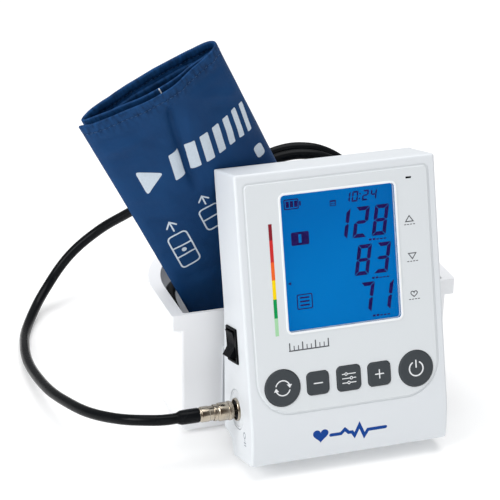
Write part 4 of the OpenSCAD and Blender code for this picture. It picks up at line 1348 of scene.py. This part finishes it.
def fold(x, z, x0, z0, x1, z1, w):
    """A straight soft fold from (x0, z0) to (x1, z1), w wide, fading at its ends."""
    dx, dz = x1 - x0, z1 - z0
    n = math.hypot(dx, dz)
    t = ((x - x0) * dx + (z - z0) * dz) / n
    q = ((x - x0) * dz - (z - z0) * dx) / n
    if not -6 < t < n + 6:
        return 0.0
    return math.exp(-(q / w) ** 2) * ease(t, -6, n * 0.3) * (1 - ease(t, n * 0.65, n + 6))


FOLDS = [(-50, 176, -22, 170, 2.6, -0.8), (-49, 166, -14, 165, 3.2, 0.7), (-46, 158, -20, 153, 2.6, -0.5),
         (50, 150, 22, 172, 4.0, 0.9), (50, 138, 26, 160, 3.4, -0.8), (50, 118, 24, 142, 4.5, 0.6),
         (46, 176, 20, 179, 2.6, -0.6), (-49, 128, -18, 112, 4.5, 0.7), (-50, 104, -22, 92, 4.0, -0.7),
         (14, 118, -4, 92, 3.2, 0.5), (34, 96, 6, 80, 4.0, -0.6), (-48, 84, -10, 66, 4.5, 0.6),
         (-46, 50, 0, 40, 5.0, -0.6), (44, 60, 10, 44, 5.0, 0.6), (-24, 168, -8, 150, 2.8, -0.4), (12, 166, 4, 140, 2.6, 0.5)]


def sway(s, x, z, turn, front):
    """How far the cloth moves out of its smooth line. turn counts the layers from outside; layers that lie together move together."""
    seed = 0.0 if front else 40.0
    lively = 1.0 if turn < 2 else 0.75
    d = 1.05 * noise.noise(Vector((x / 44.0, z / 76.0, seed + (0 if turn < 1 else 5.0))))
    d += 0.62 * noise.noise(Vector((x / 18.0, z / 32.0, seed + 11.1)))
    d += 0.20 * (0.5 - abs(noise.noise(Vector((x / 9.0 + z / 30.0, z / 16.0, seed + 3.7)))) * 2.2)
    if turn == 0:
        d -= 3.3 * crease(x, z)
        for x0, z0, x1, z1, w, a in FOLDS:
            d += 1.9 * a * fold(x, z, x0, z0, x1, z1, w)
    d *= lively * (0.3 + 0.7 * ease(z, 0, 70))
    # puckers that the sewn hem pulls up, on both ends
    for zc in (HEM, CUFF_LEN - HEM):
        below = (zc - z) * (1 if zc > 95 else -1)
        near = math.exp(-(below / (4.6 if below > 0 else 3.0)) ** 2)
        if near > 0.02:
            d += near * (1.05 * noise.noise(Vector((s / 4.6, z / 15.0, seed + 21.0 + 3 * turn))) +
                         0.62 * noise.noise(Vector((s / 2.3, z / 8.0, seed + 31.0 + 3 * turn))))
    return d


HEM = CUFF_LEN - 6.2
BASE_T = 1.15


def thickness(s, z, total):
    t = BASE_T
    for zc, sign in ((HEM, 1), (CUFF_LEN - HEM, -1)):
        over = (z - zc) * sign
        t += 0.75 * ease(over, -0.8, 1.6)                      # the turned-over hem
        t -= 0.50 * math.exp(-(over / 0.75) ** 2)               # pulled in along the stitches
    for near in (s, total - s):
        t += 0.7 * (1 - ease(near, 6.0, 8.0)) - 0.35 * math.exp(-((near - 7.0) / 0.8) ** 2)
    # the air bladder in its pocket swells the outer turn
    if 13 < s < 93 and 12 < z < 171:
        t += 0.8 * ease(min(s - 13, 93 - s, z - 12, 171 - z), 0, 6)
    return t


zs = [CUFF_LEN * k / (ROWS - 1) for k in range(ROWS)]
zs = sorted(set(zs + [0.25, 0.7, CUFF_LEN - 0.7, CUFF_LEN - 0.25, HEM, CUFF_LEN - HEM]))
ROWS = len(zs)
outer_rows, inner_rows, cuff_total = [], [], 0.0
for z in zs:
    w = (z / CUFF_LEN) ** 2.1
    keys = [tuple(a * w + b * (1 - w) for a, b in zip(p, q)) for p, q in zip(MOUTH, FOOT_LINE)]
    line, total = through(keys, COLS)
    cuff_total = max(cuff_total, total)
    orow, irow = [], []
    turn, going = 0, True
    for k, p in enumerate(line):
        s = total * k / (COLS - 1)
        a, b = line[max(0, k - 1)], line[min(COLS - 1, k + 1)]
        t = (b - a).normalized()
        if (t.x > 0) != going and abs(t.x) > 0.05:
            turn, going = turn + 1, not going
        n = Vector((t.y, -t.x))
        soft = ease(abs(t.x), 0.1, 0.95) * (0.3 + 0.7 * ease(51.5 - abs(p.x), 0, 9))
        d = sway(s, p.x, z, turn, going) * soft
        th = thickness(s, z, total)
        thin = min(1.0, 0.35 + 0.65 * math.sqrt(min(1.0, min(z, CUFF_LEN - z, s + 0.05, total - s + 0.05) / 0.7)))
        rim = 0.45 * noise.noise(Vector((s / 17.0, 5.5, z / 400.0))) * ease(z, CUFF_LEN - 25, CUFF_LEN)
        # the two innermost layers sit a little deeper in the mouth
        rim -= 8.5 * ease(s / total, 0.60, 0.68) * ease(z, CUFF_LEN - 80, CUFF_LEN)
        c = p + n * d
        # the extra thickness stands inward
        out_off = BASE_T / 2 * thin + 0.5 * max(0.0, th - BASE_T) * 0.3
        in_off = (th - BASE_T / 2) * thin
        orow.append(Vector((c.x + n.x * out_off, c.y + n.y * out_off, z + rim)))
        irow.append(Vector((c.x - n.x * in_off, c.y - n.y * in_off, z + rim)))
    outer_rows.append(orow)
    inner_rows.append(irow)

bm = bmesh.new()
uvl = bm.loops.layers.uv.new("band")
O = [[bm.verts.new(p) for p in row] for row in outer_rows]
I = [[bm.verts.new(p) for p in row] for row in inner_rows]
step_s = cuff_total / (COLS - 1) * MM


def band_face(verts, uvs, mat):
    f = bm.faces.new(verts)
    f.material_index = mat
    for loop, uv in zip(f.loops, uvs):
        loop[uvl].uv = uv


for r in range(ROWS - 1):
    z0, z1 = zs[r] * MM, zs[r + 1] * MM
    for k in range(COLS - 1):
        u0, u1 = k * step_s, (k + 1) * step_s
        # outer faces of the inner turns take the darker nylon as painted shade inside the mouth
        band_face((O[r][k], O[r][k + 1], O[r + 1][k + 1], O[r + 1][k]), ((u0, z0), (u1, z0), (u1, z1), (u0, z1)),
                  1 if k > COLS * 0.58 else 0)
        band_face((I[r][k], I[r + 1][k], I[r + 1][k + 1], I[r][k + 1]), ((u0, z0), (u0, z1), (u1, z1), (u1, z0)), 1)
    for k, flip in ((0, True), (COLS - 1, False)):
        q = (O[r][k], O[r + 1][k], I[r + 1][k], I[r][k])
        uq = ((k * step_s, z0), (k * step_s, z1), (k * step_s + 0.001, z1), (k * step_s + 0.001, z0))
        band_face(q[::-1] if flip else q, uq[::-1] if flip else uq, 0)
for r in (0, ROWS - 1):
    for k in range(COLS - 1):
        u0, u1 = k * step_s, (k + 1) * step_s
        # rims of the far wall and of the inner turns take the darker nylon as painted shade
        band_face((O[r][k], O[r][k + 1], I[r][k + 1], I[r][k]),
                  ((u0, zs[r] * MM), (u1, zs[r] * MM), (u1, zs[r] * MM + 0.001), (u0, zs[r] * MM + 0.001)),
                  1 if k > COLS * 0.64 or COLS * 0.22 < k < COLS * 0.43 else 0)
cuff = from_bm("cuff_band", bm, None, CUFF, True, 80)
paint(cuff, CLOTH, CLOTH_INNER_AND_SHADE)
carry(cuff, "unit", "cloth", "cuff", "cuff_bladder")

# ------------------------------------------------------------------ stitches, tick and prints on the cuff
FRONT_END = int(COLS * 104 / cuff_total)


def at_row(z):
    r = min(ROWS - 2, max(0, bisect.bisect_right(zs, z) - 1))
    return r, (z - zs[r]) / (zs[r + 1] - zs[r])


def surface(k, z, rows):
    """Point and outward normal at column k (may be fractional) and height z, in the cuff frame."""
    r, f = at_row(z)
    k = min(COLS - 1.001, max(0.0, k))
    i = int(k)
    g = k - i

    def P(rr, ii):
        return rows[min(ROWS - 1, max(0, rr))][min(COLS - 1, max(0, ii))]

    p = (P(r, i) * (1 - g) + P(r, i + 1) * g) * (1 - f) + (P(r + 1, i) * (1 - g) + P(r + 1, i + 1) * g) * f
    du = P(r, i + 1) - P(r, i)
    dv = P(r + 1, i) - P(r, i)
    n = du.cross(dv).normalized()
    if rows is inner_rows:
        n = -n
    return p, n


def front_column(x, z):
    """Column on the outer front whose point has this x."""
    r, f = at_row(z)
    lo, hi = 0, FRONT_END
    while hi - lo > 1:
        mid = (lo + hi) // 2
        xm = outer_rows[r][mid].x * (1 - f) + outer_rows[r + 1][mid].x * f
        if xm < x:
            lo = mid
        else:
            hi = mid
    xa = outer_rows[r][lo].x * (1 - f) + outer_rows[r + 1][lo].x * f
    xb = outer_rows[r][lo + 1].x * (1 - f) + outer_rows[r + 1][lo + 1].x * f
    return lo + min(1.0, max(0.0, (x - xa) / max(1e-6, xb - xa)))


def to_row(p):
    return (CUFF @ (p * MM)) / MM


def seam(name, spots, length=2.3, width=0.42, mat=THREAD):
    """Row of sewn stitches. Each spot is (point, normal, direction) in the cuff frame."""
    verts, faces = [], []
    for p, n, d in spots:
        d = (d - n * d.dot(n)).normalized()
        b = n.cross(d)
        base = len(verts)
        stations = ((-0.5, 0.25, -0.12), (-0.36, 0.8, 0.10), (0, 1.0, 0.17), (0.36, 0.8, 0.10), (0.5, 0.25, -0.12))
        for a, w, h in stations:
            c = p + d * (a * length) + n * h
            for j in range(6):
                t = math.pi * j / 3
                verts.append(tuple(to_row(c + b * (math.cos(t) * width / 2 * w) + n * (math.sin(t) * width / 2 * w))))
        m = len(stations)
        for i in range(m - 1):
            for j in range(6):
                q = (j + 1) % 6
                faces.append((base + i * 6 + j, base + i * 6 + q, base + (i + 1) * 6 + q, base + (i + 1) * 6 + j))
        faces.append(tuple(base + j for j in range(6))[::-1])
        faces.append(tuple(base + (m - 1) * 6 + j for j in range(6)))
    return carry(make(name, verts, faces, mat, None, True, 60), "unit", "cloth")


spots = []
for zc in (HEM, CUFF_LEN - HEM):
    for rows in (outer_rows, inner_rows):
        count = int(cuff_total / 3.1)
        for i in range(1, count):
            k = (COLS - 1) * i / count
            p, n = surface(k, zc, rows)
            q, _ = surface(k + 0.4, zc, rows)
            spots.append((p, n, q - p))
for s in (7.0, cuff_total - 7.0):
    k = s / cuff_total * (COLS - 1)
    for i in range(3, int(CUFF_LEN / 3.1) - 3):
        z = 3.1 * i + 1.5
        for rows in (inner_rows,):
            p, n = surface(k, z, rows)
            q, _ = surface(k, z + 1.0, rows)
            spots.append((p, n, q - p))
stitches = seam("cuff_stitches", spots)

# pale index tick sewn on the inner turn's rim
best = min((k for k in range(COLS) if outer_rows[-1][k].y < 0 and cuff_total * 0.4 < k * cuff_total / COLS < cuff_total * 0.65),
           key=lambda k: abs(outer_rows[-1][k].x - 4.5))
spots = []
for z in (189.3, 187.6, 185.9):
    p, n = surface(best, z, outer_rows)
    spots.append((p, n, Vector((0, 0, 1))))
tick = seam("index_tick", spots, 1.9, 1.0, THREAD_PALE)


def on_cuff(x, z, h):
    p, n = surface(front_column(x, z), z, outer_rows)
    return to_row(p + n * h)


def cloth_print(name, outlines, mat, thick=0.16, cell=1.2):
    """Flat shapes (x, z) cut into small cells and laid on the cuff's front."""
    return carry(cell_print(name, outlines, mat, on_cuff, thick, cell, 0.3), "unit", "cloth")


def slanted(x, z, w, h, lean):
    return [(x, z), (x + w, z), (x + w + lean, z + h), (x + lean, z + h)]


def softly(points, r, n=3):
    return rounded(points, {i: r for i in range(len(points))}, n)


# index arrow, then a run of slanted bars that narrow to the right
shapes = [softly([(-36.0, 124.2), (-20.2, 134.4), (-36.0, 144.6)], 1.6)]
x = -15.3
for w, gap in ((7.8, 4.9), (7.2, 3.8), (6.4, 3.7), (5.4, 3.6), (4.5, 3.5), (3.7, 3.3), (3.1, 0)):
    shapes.append(softly(slanted(x, 124.2, w, 20.4, 3.2), 0.8, 2))
    x += w + gap
prints = [cloth_print("cuff_bars_print", shapes, INK_CLOTH)]
line = 1.05
shapes = [stroke(softly([(-39.5, 57.5), (-25.5, 57.5), (-25.5, 85.0), (-39.5, 85.0)], 3.2, 5), line, True),
          stroke([(-39.2, 67.0), (-25.8, 67.0)], line), stroke([(-39.2, 75.4), (-25.8, 75.4)], line),
          stroke([(-32.5, 88.4), (-32.5, 95.6)], line), stroke([(-36.0, 92.2), (-32.5, 95.8), (-29.0, 92.2)], line),
          stroke(softly([(-12.5, 74.5), (1.5, 74.5), (1.5, 92.5), (-12.5, 92.5)], 3.2, 5), line, True),
          stroke([(-12.2, 83.5), (1.2, 83.5)], line),
          stroke([(-5.5, 95.6), (-5.5, 102.6)], line), stroke([(-9.0, 99.2), (-5.5, 102.8), (-2.0, 99.2)], line),
          disc(-32.5, 71.2, 1.7, 20)]
prints.append(cloth_print("cuff_signs_print", shapes, INK_CLOTH))
prints.append(cloth_print("cuff_spot_print", [softly([(40.4, 101.0), (47.0, 101.0), (47.0, 110.5), (40.4, 110.5)], 2.6, 6)],
                          INK_CLOTH))

# moulded port at the cuff's lower end, with grip rings, the hose ends in it
prof = closed([(-14.0, 0.6), (-14.0, 4.3), (-13.4, 4.7), (-11.4, 4.7), (-11.0, 4.3), (-10.2, 4.3), (-9.8, 4.7), (-7.8, 4.7),
               (-7.4, 4.3), (-6.6, 4.3), (-6.2, 4.7), (-4.2, 4.7), (-3.6, 4.2), (-0.6, 3.6), (0.4, 2.9), (9.8, 2.2),
               (9.8, 0.6)], 0.15, 2)
bm = bmesh.new()
rows = [[bm.verts.new((r * math.cos(2 * math.pi * k / 40), -9.5 + r * math.sin(2 * math.pi * k / 40), a)) for k in range(40)]
        for a, r in prof]
for i in range(len(rows)):
    for k in range(40):
        bm.faces.new((rows[i][k], rows[i][(k + 1) % 40], rows[(i + 1) % len(rows)][(k + 1) % 40],
                      rows[(i + 1) % len(rows)][k]))
port_piece = carry(from_bm("cuff_hose_port", bm, BLACK_MATT, CUFF, True, 35), "unit", "black_plastic", "cuff_port")

# ------------------------------------------------------------------ finishes on the CAD pieces that stay
KEEP = {"keypad_mat": MAT_GREY, "dome_switches": STEEL, "main_board": BOARD, "board_components": BLACK_MATT,
        "pressure_sensor": BLACK, "buzzer": BLACK_MATT, "pump_motor": CAN, "pump_head": BLACK_MATT, "pump_shaft": STEEL,
        "exhaust_valve": GREY, "valve_plunger": STEEL, "air_manifold": GREY, "internal_tubes": TUBE,
        "battery_contacts": NICKEL, "dc_jack": BLACK, "housing_screws": STEEL, "unit_feet": FOOT, "basket_bracket": GREY,
        "bracket_screws": STEEL}
for node, mat in KEEP.items():
    paint(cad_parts[node], mat)
for node, width in (("unit_feet", 0.5), ("dc_jack", 0.25), ("basket_bracket", 0.4), ("display_window", 0.25)):
    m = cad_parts[node].modifiers.new("edge", "BEVEL")
    m.width, m.segments, m.limit_method, m.angle_limit = width * MM, 2, "ANGLE", math.radians(50)

hose_length()

# ------------------------------------------------------------------ floor, light
floor_mat = Mat("floor_white", (0.90, 0.90, 0.90), 0.8)
floor_mat.b.inputs["Emission Color"].default_value = (1, 1, 1, 1)
floor_mat.b.inputs["Emission Strength"].default_value = 0.16
floor_mat.b.inputs["Specular IOR Level"].default_value = 0.1
floor_mat.shade(floor_mat.noise(3, 2.0), 0.997, 1.003)
floor_mat.bump(floor_mat.noise(60, 2.0), 0.00002, 0.2)
bm = bmesh.new()
bmesh.ops.create_grid(bm, x_segments=24, y_segments=24, size=6)
floor = from_bm("floor", bm, floor_mat.m, None, False, scale=1)

world = bpy.data.worlds.new("studio")
scene.world = world
world.use_nodes = True
world.node_tree.nodes["Background"].inputs["Color"].default_value = (0.985, 0.992, 1.0, 1)
world.node_tree.nodes["Background"].inputs["Strength"].default_value = 0.42


def area_light(name, place, target, size, power, color=(1, 1, 1)):
    data = bpy.data.lights.new(name, "AREA")
    data.shape, data.size, data.energy, data.color = "SQUARE", size, power, color
    o = bpy.data.objects.new(name, data)
    o.location = place
    o.rotation_euler = (Vector(target) - Vector(place)).to_track_quat("-Z", "Y").to_euler()
    scene.collection.objects.link(o)
    return o


area_light("key", (-2.0, -0.55, 1.25), (0, 0, 0.1), 1.2, 27)
area_light("top", (0.1, 0.25, 2.2), (0, 0, 0.1), 2.0, 34)
area_light("fill", (-0.35, -2.2, 0.75), (0, 0, 0.1), 1.5, 5.6)
